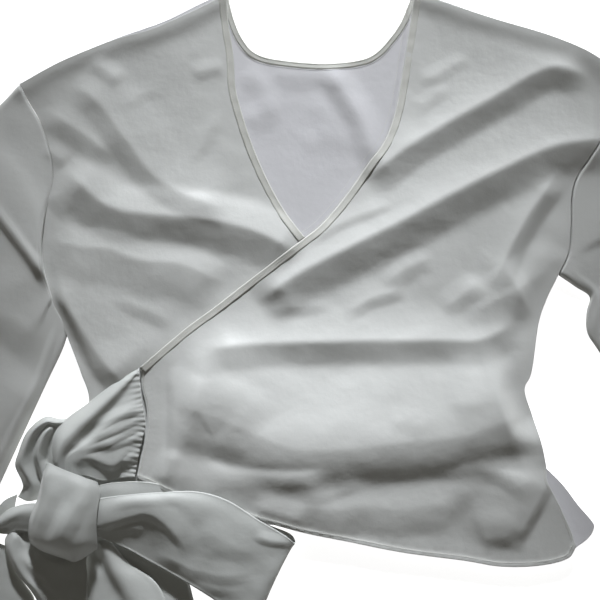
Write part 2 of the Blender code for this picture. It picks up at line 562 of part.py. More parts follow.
def main():
    for old in list(bpy.data.objects):
        bpy.data.objects.remove(old)
    satin = material("satin", IVORY, 0.38)
    satin_inside = material("satin_inside", IVORY_INSIDE, 0.5)
    trim = material("trim", IVORY_TRIM, 0.45)

    back_outline = outline_of([BACK_NECK, SHOULDER_RIGHT, ARMHOLE_RIGHT, SIDE_RIGHT, BACK_CORNER_RIGHT,
                               BACK_HEM,
                               SIDE_LEFT, ARMHOLE_LEFT, SHOULDER_LEFT], 18)
    neck = curve(BACK_NECK)
    neck_inner = offset_line(neck, -BINDING_WIDTH * 0.8)
    panel("back", back_outline, back_top, satin_inside, BACK_PITCH)
    binding("binding_back", neck, neck_inner, back_top, trim)

    under_outline = outline_of([FRONT_SHOULDER_LEFT, UNDER_NECK, UNDER_WRAP, UNDER_END, UNDER_HEM, UNDER_SIDE,
                                ARMHOLE_LEFT])
    under_edge = curve(UNDER_NECK)
    under_inner = offset_line(under_edge, -BINDING_WIDTH)
    panel("front_under", under_outline, under_top, satin, strip=(under_edge, under_inner))
    binding("binding_under", under_edge, under_inner, under_top, trim)

    over_outline = outline_of([OVER_NECK, FRONT_SHOULDER_RIGHT, ARMHOLE_RIGHT, SIDE_RIGHT, OVER_SIDE_SEAM,
                               OVER_HEM,
                               GATHER_SEAM, OVER_WRAP])
    over_edge = np.concatenate([curve(OVER_WRAP)[:-1], curve(OVER_NECK)])
    over_inner = offset_line(over_edge, -BINDING_WIDTH)
    panel("front_over", over_outline, over_top, satin, strip=(over_edge, over_inner))
    binding("binding_over", over_edge, over_inner, over_top, trim)

    left_hole = offset_line(curve(ARMHOLE_LEFT, count=SLEEVE_ACROSS), SEAM_GAP)[::-1]
    right_hole = offset_line(curve(ARMHOLE_RIGHT, count=SLEEVE_ACROSS), SEAM_GAP)
    sleeve("sleeve_left", left_hole, SLEEVE_LEFT_OUTER, SLEEVE_LEFT_INNER, CUFF_LEFT, FOLDS_SLEEVE_LEFT,
           satin)
    sleeve("sleeve_right", right_hole, SLEEVE_RIGHT_OUTER, SLEEVE_RIGHT_INNER, CUFF_RIGHT,
           FOLDS_SLEEVE_RIGHT, satin)

    run = [[(x, y, CLOTH / 2) for x, y, _ in row] for row in SASH_RUN]
    sash("sash_run", run, 10, 3, satin)
    stretches = {
        "sash_gather": (SASH_GATHER, 13, 14),
        "sash_turn": (SASH_TURN, 12, 8),
        "loop_left": (LOOP_LEFT, 17, 5),
        "tail_left": (TAIL_LEFT, 12, 7),
        "tail_right": (TAIL_RIGHT, 11, 8),
        "bow_loop": (BOW_LOOP, 29, 7),
        "knot_band": (KNOT_BAND, 10, 8),
    }
    for name, (table, along, across) in stretches.items():
        sash(name, table, along, across, satin)
    knot_core(stretches.values(), satin)
    sash("tail_far", TAIL_FAR, 7, 4, satin)
    sash("tail_under", TAIL_UNDER, 7, 4, satin)


main()
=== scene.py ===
# %% [markdown]
# # A satin wrap top, laid flat
#
# The top is a wrap blouse in ivory satin. One front crosses over the other, and two sashes
# meet in a bow at the side. It lies on a pale floor and is seen from straight above.
# Each cell makes one piece or one finish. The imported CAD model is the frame: every visible
# piece below takes the place of the plain CAD piece of the same name.

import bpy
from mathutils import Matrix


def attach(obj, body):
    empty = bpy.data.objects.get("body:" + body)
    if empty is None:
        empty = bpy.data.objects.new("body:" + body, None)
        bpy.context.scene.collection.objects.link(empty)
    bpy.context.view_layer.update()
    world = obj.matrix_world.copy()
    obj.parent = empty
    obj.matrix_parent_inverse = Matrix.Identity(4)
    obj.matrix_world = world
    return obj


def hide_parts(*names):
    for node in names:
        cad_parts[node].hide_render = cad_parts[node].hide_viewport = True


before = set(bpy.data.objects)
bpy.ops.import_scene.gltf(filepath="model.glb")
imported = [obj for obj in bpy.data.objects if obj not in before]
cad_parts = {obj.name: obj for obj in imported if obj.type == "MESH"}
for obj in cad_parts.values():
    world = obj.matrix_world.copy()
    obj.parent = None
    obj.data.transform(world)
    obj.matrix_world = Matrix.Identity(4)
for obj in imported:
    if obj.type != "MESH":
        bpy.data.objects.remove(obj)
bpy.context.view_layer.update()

import math

import bmesh
import bpy
import numpy as np
from mathutils import Vector, noise
from mathutils.geometry import delaunay_2d_cdt

# %% [markdown]
# ## Sizes
#
# The tables hold millimetres, as a pattern cutter would write them, and a mesh becomes metres
# only when it is made. The origin is on the floor under the middle of the body, with +Y
# towards the neck.

# %% Driving sizes
MM = 0.001
CLOTH = 0.8             # thickness of the satin as it is shown
BINDING_WIDTH = 7.6     # of the neck binding
SEAM_GAP = 0.15         # between a sleeve and the body
HEM = 4.0               # depth of the narrow hem
PITCH = 2.5             # spacing of a front's mesh
BACK_PITCH = 5.0        # spacing of the back's mesh
BACK_TOP = 1.2          # height of the back's upper side
UNDER_TOP = 4.3         # height of the under front's upper side, between its folds
OVER_TOP = 7.6          # and of the over front's
FOLD_DEPTH = 1.2        # a factor on the height of every fold
SASH_LIFT = 1.9         # how far the second sash, under the back, lifts the body
print("The fronts lie", UNDER_TOP, "and", OVER_TOP, "mm above the floor")

# %% [markdown]
# ## Curves and distances
#
# A cut edge is a few points that a pattern cutter would mark, joined by a smooth curve. Every
# fold is measured from its own curve too, so one function gives the distance from many points
# to a curve, the side they are on, and how far along it they are.

# %% Curve helpers
def through(points, t):
    """The points at t, from 0 to 1, on a Catmull-Rom curve."""
    pts = np.asarray(points, float)
    place = np.clip(t, 0, 1) * (len(pts) - 1)
    i = np.minimum(place.astype(int), len(pts) - 2)
    f = (place - i)[:, None]
    a = np.where((i > 0)[:, None], pts[np.maximum(i - 1, 0)], 2 * pts[0] - pts[1])
    d = np.where((i < len(pts) - 2)[:, None], pts[np.minimum(i + 2, len(pts) - 1)], 2 * pts[-1] - pts[-2])
    b, c = pts[i], pts[i + 1]
    return b + 0.5 * f * (c - a + f * (2 * a - 5 * b + 4 * c - d + f * (3 * (b - c) + d - a)))


def curve(points, step=PITCH, count=None):
    """Points about `step` apart, or `count` points, evenly along the smooth curve."""
    fine = through(points, np.linspace(0, 1, 40 * len(points)))
    along = np.concatenate([[0], np.cumsum(np.linalg.norm(np.diff(fine, axis=0), axis=1))])
    marks = np.linspace(0, along[-1], count or max(2, round(along[-1] / step) + 1))
    return np.column_stack([np.interp(marks, along, fine[:, k]) for k in range(fine.shape[1])])


def outline_of(edges):
    """A closed outline from cut edges that follow one another."""
    return np.concatenate([curve(edge)[:-1] for edge in edges])


def distance_to(points, line):
    """Each point's distance to a polyline, its side (positive is left), and its millimetres along it."""
    points = np.asarray(points, float)[:, None, :]
    a, b = np.asarray(line[:-1])[None], np.asarray(line[1:])[None]
    span = b - a
    size = np.maximum((span**2).sum(2), 1e-9)
    t = np.clip(((points - a) * span).sum(2) / size, 0, 1)
    gap = np.linalg.norm(points - (a + t[..., None] * span), axis=2)
    best = gap.argmin(1)
    rows = np.arange(len(best))
    away = points[:, 0] - a[0, best]
    side = span[0, best, 0] * away[:, 1] - span[0, best, 1] * away[:, 0]
    starts = np.concatenate([[0], np.cumsum(np.sqrt(size[0]))])
    return gap[rows, best], side, starts[best] + t[rows, best] * np.sqrt(size[0, best])


def near(points, line, reach):
    """distance_to for the points within `reach` of the line's box; the rest are far away."""
    low, high = line.min(0) - reach, line.max(0) + reach
    close = ((points >= low) & (points <= high)).all(1)
    gap, side, along = np.full(len(points), 1e6), np.ones(len(points)), np.zeros(len(points))
    if close.any():
        gap[close], side[close], along[close] = distance_to(points[close], line)
    return gap, side, along


def smooth(x):
    """0 up to x = 0, 1 from x = 1, and a soft step between."""
    x = np.clip(x, 0, 1)
    return x * x * (3 - 2 * x)


def offset_line(line, distance):
    """The line moved sideways, to the left of its direction."""
    ahead = np.gradient(np.asarray(line, float), axis=0)
    ahead /= np.linalg.norm(ahead, axis=1)[:, None]
    return np.asarray(line) + distance * np.column_stack([-ahead[:, 1], ahead[:, 0]])


print("A straight edge of 100 mm gets", len(curve([(0, 0), (100, 0)])), "points")

# %% [markdown]
# ## The cut edges
#
# These are the same edges as in the CAD part. The V neck is where the two fronts' own edges
# part, and the over front ends at a gathered seam where its sash is sewn on.

# %% Cut edges of the body
BACK_NECK = [(-73, 308), (-66, 280), (-57, 260), (-44, 246.4), (-21, 240), (23, 236.4), (57, 239.3),
             (75, 246.4),
             (90, 262), (102, 280), (113, 308)]
SHOULDER_RIGHT = [(113, 308), (142, 299), (191, 282), (249, 264), (287, 248), (316, 228)]
ARMHOLE_RIGHT = [(316, 228), (306, 200), (299, 163), (287, 141), (275, 122), (270, 103), (269, 75),
                 (267, 48), (257, 25)]
SIDE_RIGHT = [(257, 25), (245, 0), (237, -25), (230, -71), (223, -89), (230, -113), (239, -143), (244, -166)]
BACK_CORNER_RIGHT = [(244, -166), (262, -184), (278, -205), (291, -220), (294, -227), (288, -238),
                     (273.5, -249)]
BACK_HEM = [(273.5, -249), (240, -259), (180, -257), (100, -245), (40, -234), (-10, -226), (-100, -221),
            (-190, -214),
            (-234, -204)]
SIDE_LEFT = [(-234, -204), (-231, -180), (-220, -140), (-210.5, -101), (-219, -72), (-232, -38), (-240, -19),
             (-252, 11),
             (-257.4, 31)]
ARMHOLE_LEFT = [(-257.4, 31), (-259, 55), (-256, 81), (-249, 107), (-246, 128), (-250, 151), (-259, 178),
                (-271, 199),
                (-279, 216)]
SHOULDER_LEFT = [(-279, 216), (-237, 239), (-185, 261), (-137, 278), (-100, 296), (-73, 308)]
FRONT_SHOULDER_LEFT = [(-279, 215), (-237, 238), (-185, 259), (-150, 269), (-115, 284), (-88, 297),
                       (-74, 305)]
UNDER_NECK = [(-74, 305), (-71, 275), (-66, 242), (-64, 211), (-55, 177), (-44, 146), (-30, 115), (-14, 87),
              (5, 62)]
UNDER_WRAP = [(5, 62), (80, 0), (150, -50), (208, -88)]
UNDER_END = [(208, -88), (212, -140), (205, -200)]
UNDER_HEM = [(205, -200), (100, -219), (0, -219), (-100, -215), (-190, -208), (-232, -198)]
UNDER_SIDE = [(-232, -198), (-230, -180), (-219.5, -140), (-210, -101), (-218.5, -72), (-231.5, -38),
              (-239.5, -19), (-251.5, 11),
              (-257, 31)]
FRONT_SHOULDER_RIGHT = [(114, 305), (145, 295), (191, 280), (249, 262.5), (287, 246.5), (316, 227)]
OVER_NECK = [(1, 59), (21, 75), (45, 103), (68, 136), (84, 158), (95, 188), (102, 226), (109, 271),
             (114, 305)]
OVER_WRAP = [(-159, -67), (-136, -47), (-111, -26), (-85, -7), (-58, 14), (-33, 33), (1, 59)]
GATHER_SEAM = [(-162.3, -177), (-159, -159), (-155, -141), (-152, -122), (-153, -105), (-157, -88),
               (-159, -67)]
OVER_HEM = [(274.5, -245), (266, -257), (239, -264), (200, -265), (163, -259), (103, -251), (48, -240),
            (0, -230),
            (-60, -213), (-110, -199), (-162.3, -177)]
OVER_SIDE_SEAM = [(244, -168), (245, -180), (256, -201), (268, -227), (274.5, -245)]

print("From underarm to underarm:", round(ARMHOLE_RIGHT[-1][0] - ARMHOLE_LEFT[0][0], 1), "mm")

# %% [markdown]
# ## Folds
#
# Satin that is laid down keeps soft, uneven folds. Each row of a fold table is one fold. Its
# path follows the crest with the light on its left, so the cloth climbs to the crest over the
# `rise` and falls away in shade over the `drop`. `hollow` says how hollow the lit slope is, from
# 0 for a round swell to 1 for one that sweeps up to a sharp crest; `steep` says how straight
# the shaded slope is.

# %% Fold tables of the two fronts
FOLD_COLUMNS = ("path", "height", "rise", "drop", "hollow", "steep")
FOLDS_OVER = {
    "yoke_high": ([(62, 116), (100, 147), (140, 172), (190, 200), (233, 225), (260, 231), (292, 218)], 5.6,
                  42, 22, 0.9, 0.9),
    "yoke_low": ([(-44, -4), (0, 27), (50, 53), (100, 78), (150, 105), (200, 130), (255, 153), (318, 161)],
                 7.6, 46, 30, 0.85, 0.9),
    "yoke_groove": ([(2, 54), (45, 79), (102, 100)], 0.9, 9, 6, 0.6, 0.8),
    "waist": ([(-100, -50), (-50, -44), (43, -41), (130, -40), (180, -39), (220, -18)], 4.7, 32, 22, 0.9,
              0.9),
    "belly": ([(-132, -102), (-90, -111), (-55, -126), (-4, -145), (45, -145), (100, -138), (155, -133),
               (195, -120), (230, -108)], 10.4, 74, 42, 0.0, 0.55),
    "belly_low": ([(-94, -148), (-78, -142), (-60, -144), (-44, -152)], 0.6, 12, 12, 0.4, 0.7),
    "belly_arch": ([(-118, -120), (-100, -105), (-76, -102), (-56, -112), (-38, -130)], 2.4, 26, 34, 0.0,
                   0.8),
    "flank": ([(140, -104), (180, -100), (210, -96), (240, -92), (300, -84)], 3.6, 44, 60, 0.1, 0.9),
    "apron": ([(-150, -178), (-80, -184), (0, -182), (43, -180), (130, -172), (220, -162), (290, -152)], 5.0,
              70, 100, 0.0, 1.0),
    "side_swell": ([(162, -22), (186, -4), (218, 11), (246, 30), (266, 50)], 3.4, 30, 26, 0.4, 0.8),
    "side_crease": ([(200, 38), (207, 25), (217, 7), (226, -8), (237, -26)], 3.2, 12, 34, 0.6, 0.8),
    "armhole": ([(188, 8), (200, 34), (220, 74), (240, 104), (260, 130)], 5.0, 24, 15, 0.8, 0.8),
    "low_left": ([(-108, -166), (-74, -177), (-34, -182), (4, -182), (36, -178)], 2.8, 12, 42, 0.1, 0.9),
    "hip_fold": ([(212, -252), (217, -231), (232, -204), (242, -181), (245, -162)], 3.4, 46, 9, 0.2, 0.8),
    "hip_high": ([(170, -174), (186, -170), (206, -177), (230, -197)], 1.0, 10, 10, 0.6, 0.6),
    "hem_wave": ([(-14, -200), (30, -208), (60, -205), (100, -207), (140, -203), (170, -212)], 3.0, 24, 26,
                 0.2, 0.4),
    "hem_crease": ([(0, -192), (22, -194), (40, -189), (62, -183)], 0.5, 7, 6, 0.7, 0.8),
    "hem_corner": ([(-50, -200), (-30, -208), (-10, -214), (12, -224)], 1.8, 14, 12, 0.4, 0.7),
    "hem_side": ([(176, -240), (190, -235), (204, -234), (216, -237)], 1.2, 24, 12, 0.1, 0.7),
    "hip_shade": ([(140, -200), (168, -188), (200, -182), (224, -180), (250, -184)], 3.0, 24, 60, 0.0, 1.0),
    "facing_fold": ([(-134, -200), (-125, -168), (-123, -130), (-123, -78), (-116, -58)], 2.4, 7, 30, 0.2,
                    0.4),
    "facing_left": ([(-144, -186), (-134, -162), (-128, -145)], 1.2, 8, 7, 0.5, 0.6),
    "facing_right": ([(-137, -184), (-127, -162), (-120, -147)], 1.0, 7, 7, 0.5, 0.6),
    "crease_a": ([(-38, -16), (-17, -8), (11, -6), (35, 0)], 0.9, 10, 8, 0.7, 0.8),
    "crease_b": ([(40, -12), (55, -7), (69, 1), (90, 7), (110, 12)], 1.5, 16, 9, 0.8, 0.8),
    "crease_c": ([(84, 12), (100, 28), (118, 38), (136, 42)], 1.3, 10, 12, 0.6, 0.7),
    "crease_d": ([(140, -12), (157, 2), (170, 12), (180, 24)], 1.6, 14, 12, 0.6, 0.7),
    "crease_e": ([(84, -120), (100, -118), (116, -123), (130, -130)], 0.6, 12, 12, 0.4, 0.7),
    "crease_f": ([(146, -108), (158, -100), (176, -98), (192, -104)], 0.6, 14, 12, 0.4, 0.7),
    "crease_g": ([(112, 188), (130, 200), (148, 214)], 0.7, 8, 8, 0.6, 0.7),
    "crease_h": ([(114, 218), (132, 222), (150, 232), (170, 244)], 0.8, 8, 8, 0.6, 0.7),
}
FOLDS_UNDER = {
    "yoke": ([(-230, 216), (-202, 198), (-174, 161), (-146, 125), (-110, 103), (-66, 89)], 3.8, 38, 18, 0.5,
             0.9),
    "chest": ([(-238, 134), (-210, 108), (-182, 90), (-135, 84), (-85, 79), (-38, 66), (6, 42)], 6.6, 26, 29,
              0.4, 0.9),
    "pleat": ([(-256, 194), (-240, 180), (-223, 170), (-200, 153), (-180, 138)], 2.6, 22, 16, 0.7, 0.7),
    "pleat_low": ([(-256, 154), (-242, 143), (-230, 137)], 0.9, 9, 7, 0.6, 0.7),
    "rib": ([(-254, 62), (-222, 53), (-190, 50), (-160, 39), (-118, 35), (-72, 14)], 3.6, 18, 34, 0.5, 0.3),
    "rib_low": ([(-188, 10), (-166, -4), (-147, -12), (-122, -26)], 1.3, 22, 10, 0.6, 0.8),
    "waist": ([(-260, 16), (-228, -12), (-200, -54), (-166, -92)], 6.4, 56, 17, 0.5, 0.85),
    "arm_small": ([(-250, 110), (-240, 94), (-228, 84)], 0.8, 10, 8, 0.4, 0.6),
    "press_a": ([(-116, 132), (-96, 160), (-78, 196)], 0.5, 9, 9, 0.5, 0.6),
    "press_b": ([(-180, 188), (-160, 204), (-134, 212)], 0.5, 10, 8, 0.5, 0.6),
    "press_c": ([(-110, 224), (-92, 230), (-72, 234)], 0.9, 9, 8, 0.5, 0.6),
    "press_d": ([(-210, 238), (-192, 228), (-176, 214)], 1.2, 10, 9, 0.6, 0.7),
}

print(len(FOLDS_UNDER), "folds on the under front and", len(FOLDS_OVER), "on the over front")

# %% [markdown]
# ## Filling a panel
#
# A cut panel is its outline filled with small, even triangles. Blender's Delaunay fill takes
# the outline as fixed edges and joins the points inside it. Rows of points just inside the
# edge let the cloth round off there and show its narrow hem.

# %% Mesh helpers
def add_object(name, vertices, faces):
    """A named object from points in millimetres, with its faces turned outwards."""
    mesh = bpy.data.meshes.new(name)
    mesh.from_pydata([tuple(v) for v in np.asarray(vertices, float) * MM], [], faces)
    work = bmesh.new()
    work.from_mesh(mesh)
    bmesh.ops.recalc_face_normals(work, faces=work.faces)
    work.to_mesh(mesh)
    work.free()
    mesh.shade_smooth()
    made = bpy.data.objects.new(name, mesh)
    bpy.context.scene.collection.objects.link(made)
    return made


BATCH = 4000            # points handled at a time
STRETCH = 40            # edge lengths handled at a time


def inside(points, outline):
    """Which points lie inside a closed outline, in batches to save memory."""
    x0, y0 = outline.T
    x1, y1 = np.roll(outline, -1, axis=0).T
    rise = np.where(y1 == y0, 1e-9, y1 - y0)
    found = []
    for part in np.array_split(np.asarray(points, float), max(1, len(points) // BATCH)):
        x, y = part.T
        crosses = (y0[None] > y[:, None]) != (y1[None] > y[:, None])
        at = (x1 - x0)[None] * (y[:, None] - y0[None]) / rise[None] + x0[None]
        found.append((crosses & (x[:, None] < at)).sum(1) % 2 == 1)
    return np.concatenate(found)


def border(faces):
    """The edges that only one triangle has, in that triangle's order."""
    pairs = [(f[k], f[(k + 1) % 3]) for f in faces for k in range(3)]
    known = set(pairs)
    return [(a, b) for a, b in pairs if (b, a) not in known]


def edge_distance(points, outline, reach=12.0):
    """Distance to a closed outline, for points near it, worked out in batches."""
    closed = np.vstack([outline, outline[:1]])
    gap = np.full(len(points), 1e6)
    for start in range(0, len(closed) - 1, STRETCH):
        stretch = closed[start:start + STRETCH + 1]
        gap = np.minimum(gap, near(points, stretch, reach)[0])
    return gap


EDGE_ROWS = (0.5, 1.4, 2.8, 4.2, 5.8)   # how far inside the edge the close rows lie
ROW_STEP = 0.87         # from row to row of the even grid, as a share of its pitch
GRID_CLEAR = 0.45       # how far the grid keeps from the last close row, in pitches
ROW_KEEP = 0.93         # a row's point stays if it's at least this share of its distance inside


def fill(outline, pitch):
    """Flat points and triangles that fill an outline, with close rows along its edge."""
    low, high = outline.min(0), outline.max(0)
    rows = np.arange(low[1], high[1], pitch * ROW_STEP)
    grid = np.array([(x + (pitch / 2 if r % 2 else 0), y) for r, y in enumerate(rows)
                     for x in np.arange(low[0], high[0], pitch)])
    grid = grid[inside(grid, outline)]
    gap = edge_distance(grid, outline)
    grid = grid[gap > EDGE_ROWS[-1] + pitch * GRID_CLEAR]
    turned = np.vstack([outline, outline[:1]])
    area = np.sum(turned[:-1, 0] * turned[1:, 1] - turned[1:, 0] * turned[:-1, 1]) / 2
    ahead = np.roll(outline, -1, axis=0) - np.roll(outline, 1, axis=0)
    ahead /= np.linalg.norm(ahead, axis=1)[:, None]
    inward = np.column_stack([-ahead[:, 1], ahead[:, 0]]) * np.sign(area)
    rings = []
    for row in EDGE_ROWS:
        ring = outline + inward * row
        keep = inside(ring, outline) & (edge_distance(ring, outline) > row * ROW_KEEP)
        rings.append(ring[keep])
    points = np.concatenate([outline, *rings, grid])
    edges = [(i, (i + 1) % len(outline)) for i in range(len(outline))]
    flat, _, faces, _, _, _ = delaunay_2d_cdt([Vector(p) for p in points], edges, [], 1, 1e-5)
    return np.array([tuple(p) for p in flat]), [tuple(f) for f in faces]


print("Close rows inside a cut edge:", EDGE_ROWS, "mm")

# %% [markdown]
# ## The shape of a fold
#
# Away from its crest a fold falls to a foot where it levels out softly, and it dies away
# towards both ends. One function adds up the heights of a whole table of folds.

# %% Fold heights
FOOT_SOFTNESS = 0.09    # how softly a slope levels out, as a share of its width
HOLLOW_RATE = 2.4       # how fast a hollow slope falls away from its crest
CREST_ROUND = 2.0       # radius of a crest
FOLD_END = 32.0         # a fold dies away over this length at each end, or over
FOLD_END_SHARE = 0.3    # this share of its length where that is less


def foot(r):
    """1 at a crest, falling straight to 0 at its foot, where it levels out softly."""
    return FOOT_SOFTNESS * np.log1p(np.exp((1 - r) / FOOT_SOFTNESS))


def fold_height(points, folds):
    """The height that a table of folds adds at each point."""
    total = np.zeros(len(points))
    for row in folds.values():
        fold = dict(zip(FOLD_COLUMNS, row))
        path = curve(fold["path"], count=8 * len(fold["path"]))
        gap, side, along = near(points, path, max(1.8 * fold["rise"], 1.6 * fold["drop"]))
        gap = np.sqrt(gap**2 + CREST_ROUND**2) - CREST_ROUND
        lit, shaded = gap / fold["rise"], gap / fold["drop"]
        swell, fall = foot(lit), foot(shaded)
        up = fold["hollow"] * np.exp(-HOLLOW_RATE * lit) + (1 - fold["hollow"]) * swell * (2 - swell)
        down = fold["steep"] * fall + (1 - fold["steep"]) * fall * (2 - fall)
        length = np.linalg.norm(np.diff(path, axis=0), axis=1).sum()
        ends = smooth(np.minimum(along, length - along) / min(FOLD_END_SHARE * length, FOLD_END))
        total += fold["height"] * np.where(side > 0, up, down) * ends
    return total * FOLD_DEPTH


print("Half way down a straight slope", round(float(foot(0.5)), 2), "of the height is left")

# %% [markdown]
# ## Heights of the layers
#
# The back lies on the floor, the under front on the back, and the over front on both. Cloth
# is held down along its shoulder and side seams, so folds die away there, but they run on
# across an armhole into the sleeve. Where the over front covers the under front, the under
# front is smooth, and its folds still lift what lies on them.

# %% Heights
# the second sash where it is hidden: its sections, each from the upper edge to the lower
SASH_RUN = [
    [(208, -72, 0.6), (208, -92, 0.6), (208, -112, 0.6)],
    [(100, -66, 0.6), (100, -96, 0.6), (100, -126, 0.6)],
    [(-50, -72, 0.6), (-50, -102, 0.6), (-50, -132, 0.6)],
    [(-204, -108, 0.6), (-204, -124, 0.6), (-204, -140, 0.6)],
]


def lofted(table, along, across):
    """A smooth grid of points through the sections of a table."""
    sections = np.array(table, float)
    t_across, t_along = np.linspace(0, 1, across), np.linspace(0, 1, along)
    wide = np.array([through(row, t_across) for row in sections])
    return np.array([through(wide[:, k], t_along) for k in range(across)]).transpose(1, 0, 2)


LIFT_REACH = 60.0       # the lift dies away over this length past the sash's ends
LIFT_SHOULDER = 26.0    # full height this far out from the sash's edges
LIFT_SLOPE = 44.0       # and gone over this much more


def sash_lift(points):
    """How far the second sash lifts what lies on it."""
    run = lofted(SASH_RUN, 25, 3)
    order = run[:, 1, 0].argsort()
    x = np.clip(points[:, 0], run[order[0], 1, 0], run[order[-1], 1, 0])
    upper = np.interp(x, run[order, 0, 0], run[order, 0, 1])
    lower = np.interp(x, run[order, 2, 0], run[order, 2, 1])
    beyond = np.maximum(points[:, 1] - upper, lower - points[:, 1])
    ends = (smooth((points[:, 0] - run[order[0], 1, 0]) / LIFT_REACH + 1.2)
            * smooth((run[order[-1], 1, 0] - points[:, 0]) / LIFT_REACH + 1.2))
    return SASH_LIFT * smooth(1 - (beyond - LIFT_SHOULDER) / LIFT_SLOPE) * ends


def edge_fade(points, lines, reach=15.0, least=0.15):
    """1 inside a panel, down to `least` along the seams that hold the cloth down."""
    gap = np.min([near(points, line, reach)[0] for line in lines], axis=0)
    return least + (1 - least) * smooth(gap / reach)


UNDER_HELD = [curve(edge, 6) for edge in (FRONT_SHOULDER_LEFT, UNDER_SIDE)]
OVER_HELD = [curve(edge, 6) for edge in (FRONT_SHOULDER_RIGHT, SIDE_RIGHT[:6])]
WRAP_LINE = curve(OVER_WRAP + OVER_NECK[1:], 6)
SHOULDERS = [curve(edge, 6) for edge in (FRONT_SHOULDER_LEFT, FRONT_SHOULDER_RIGHT)]
LIP_HEIGHT = 2.6        # of the fronts along the shoulder seams
LIP_WIDTH = 11.0        # over which that dies away
COVER_FADE = 24.0       # the under front's folds die away this far under the over front
LOWEST_FOLD = -1.5      # a fold never dips the over front further than this


def shoulder_lip(points):
    """The fronts stand up a little along their shoulder seams."""
    gap = np.min([near(points, line, 30)[0] for line in SHOULDERS], axis=0)
    return LIP_HEIGHT * np.exp(-((np.maximum(gap - 3, 0) / LIP_WIDTH) ** 2))


def under_folds(points):
    """The under front's folds, smoothed out where the over front covers them."""
    gap, side, _ = near(points, WRAP_LINE, 700)
    covered = np.where(side < 0, gap, 0.0)
    shown = smooth(1 - covered / COVER_FADE)
    return fold_height(points, FOLDS_UNDER) * edge_fade(points, UNDER_HELD) * shown


def over_folds(points):
    """The over front's own folds."""
    return np.maximum(fold_height(points, FOLDS_OVER) * edge_fade(points, OVER_HELD, 30.0), LOWEST_FOLD)


def back_top(points):
    """Height of the back's upper side."""
    return BACK_TOP + sash_lift(points)


def under_top(points):
    """Height of the under front's upper side."""
    return UNDER_TOP + sash_lift(points) + under_folds(points) + shoulder_lip(points)


def over_top(points):
    """Height of the over front's upper side, which takes on the folds that lie under it."""
    return OVER_TOP + sash_lift(points) + under_folds(points) + over_folds(points) + shoulder_lip(points)


middle_front = np.array([[0.0, 0.0]])
print("Upper sides at the middle of the body, in mm: under front", round(float(under_top(middle_front)[0]),
                                                                         1),
      "and over front", round(float(over_top(middle_front)[0]), 1))

# %% [markdown]
# ## Small undulations
#
# No laid cloth is perfectly smooth between its folds. A slow noise with a fixed pattern adds
# a few tenths of a millimetre of unevenness.

# %% Undulation and panel maker
def undulation(points, size, depth, seed):
    """Smooth unevenness with features about `size` millimetres long."""
    return np.array([noise.noise(Vector((x / size, y / size, seed))) for x, y in points]) * depth


def wall(name, flat, faces, bottom, top):
    """A closed wall of cloth between two heights over the same flat triangles."""
    n = len(flat)
    vertices = np.concatenate([np.column_stack([flat, bottom]), np.column_stack([flat, top])])
    sides = [(a, b, b + n, a + n) for a, b in border(faces)]
    lower = [tuple(reversed(f)) for f in faces]
    upper = [tuple(i + n for i in f) for f in faces]
    return add_object(name, vertices, lower + upper + sides)


def seam_ditch(points, line, depth=0.35, width=1.4, pucker=0.16, wave=7.0):
    """How a seam pulls the cloth down: a narrow ditch, with small puckers running away from it."""
    gap, _, along = near(points, line, 16)
    puckers = np.sin(along * 2 * np.pi / wave + np.sin(along / 11))
    return -depth * np.exp(-(gap / width) ** 2) + pucker * np.exp(-gap / 6) * puckers


# each scale of unevenness: size of its features, share of the panel's ripple, step in seed
RIPPLES = ((46, 1.6, 0), (21, 0.6, 5), (9, 0.16, 9))
HEM_EXTRA = 1.2         # how much thicker the folded hem is, in layers of cloth
HEM_RISE = 0.7          # how much higher it stands
HEM_WAVE = 0.22         # how far the hem's edge waves up and down
GATHER_PITCH = 5.2      # from pucker to pucker along a gathered seam


def hem_of(flat, hem):
    """The extra thickness and height of a folded hem, which waves a little along its length."""
    gap, _, along = near(flat, hem, 14)
    folded = smooth((HEM + 0.6 - gap) / 0.9)
    thicker = HEM_EXTRA * CLOTH * folded * np.sqrt(np.clip(0.1 + gap / 0.8, 0, 1))
    wave = np.sin(along * 2 * np.pi / 11 + 2 * np.sin(along / 23))
    return thicker, HEM_WAVE * np.exp(-gap / 8) * wave + HEM_RISE * folded


def panel(name, outline, top_of, pitch, hems=(), gathered=(), ripple=0.5, seed=1.0):
    """A cut panel with its heights, hems, gathered seams and thickness."""
    flat, faces = fill(outline, pitch)
    top = top_of(flat)
    for size, share, step in RIPPLES:
        top = top + undulation(flat, size, ripple * share, seed + step)
    for seam in gathered:
        top += seam_ditch(flat, seam, 0.5, 1.6, 0.4, GATHER_PITCH)
    thick = CLOTH * np.sqrt(np.clip(0.12 + edge_distance(flat, outline) / 1.2, 0, 1))
    for hem in hems:
        thicker, higher = hem_of(flat, hem)
        thick += thicker
        top += higher
    made = wall(name, flat, faces, top - thick, top)
    print(name, len(made.data.polygons), "faces")
    return made


def as_cloth(piece, nodes):
    """The calls that every sheet needs: what it stands for and its body."""
    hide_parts(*nodes)
    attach(piece, "root")


print("An uneven panel's features are", [size for size, _, _ in RIPPLES], "mm long")

# %% [markdown]
# ## Finishes
#
# The satin is an ivory polyester with a soft sheen, brighter along the slopes that face the
# light. Shader maths is written as plain expressions: a small class wraps a socket, and each
# operator adds the Math node that it stands for.

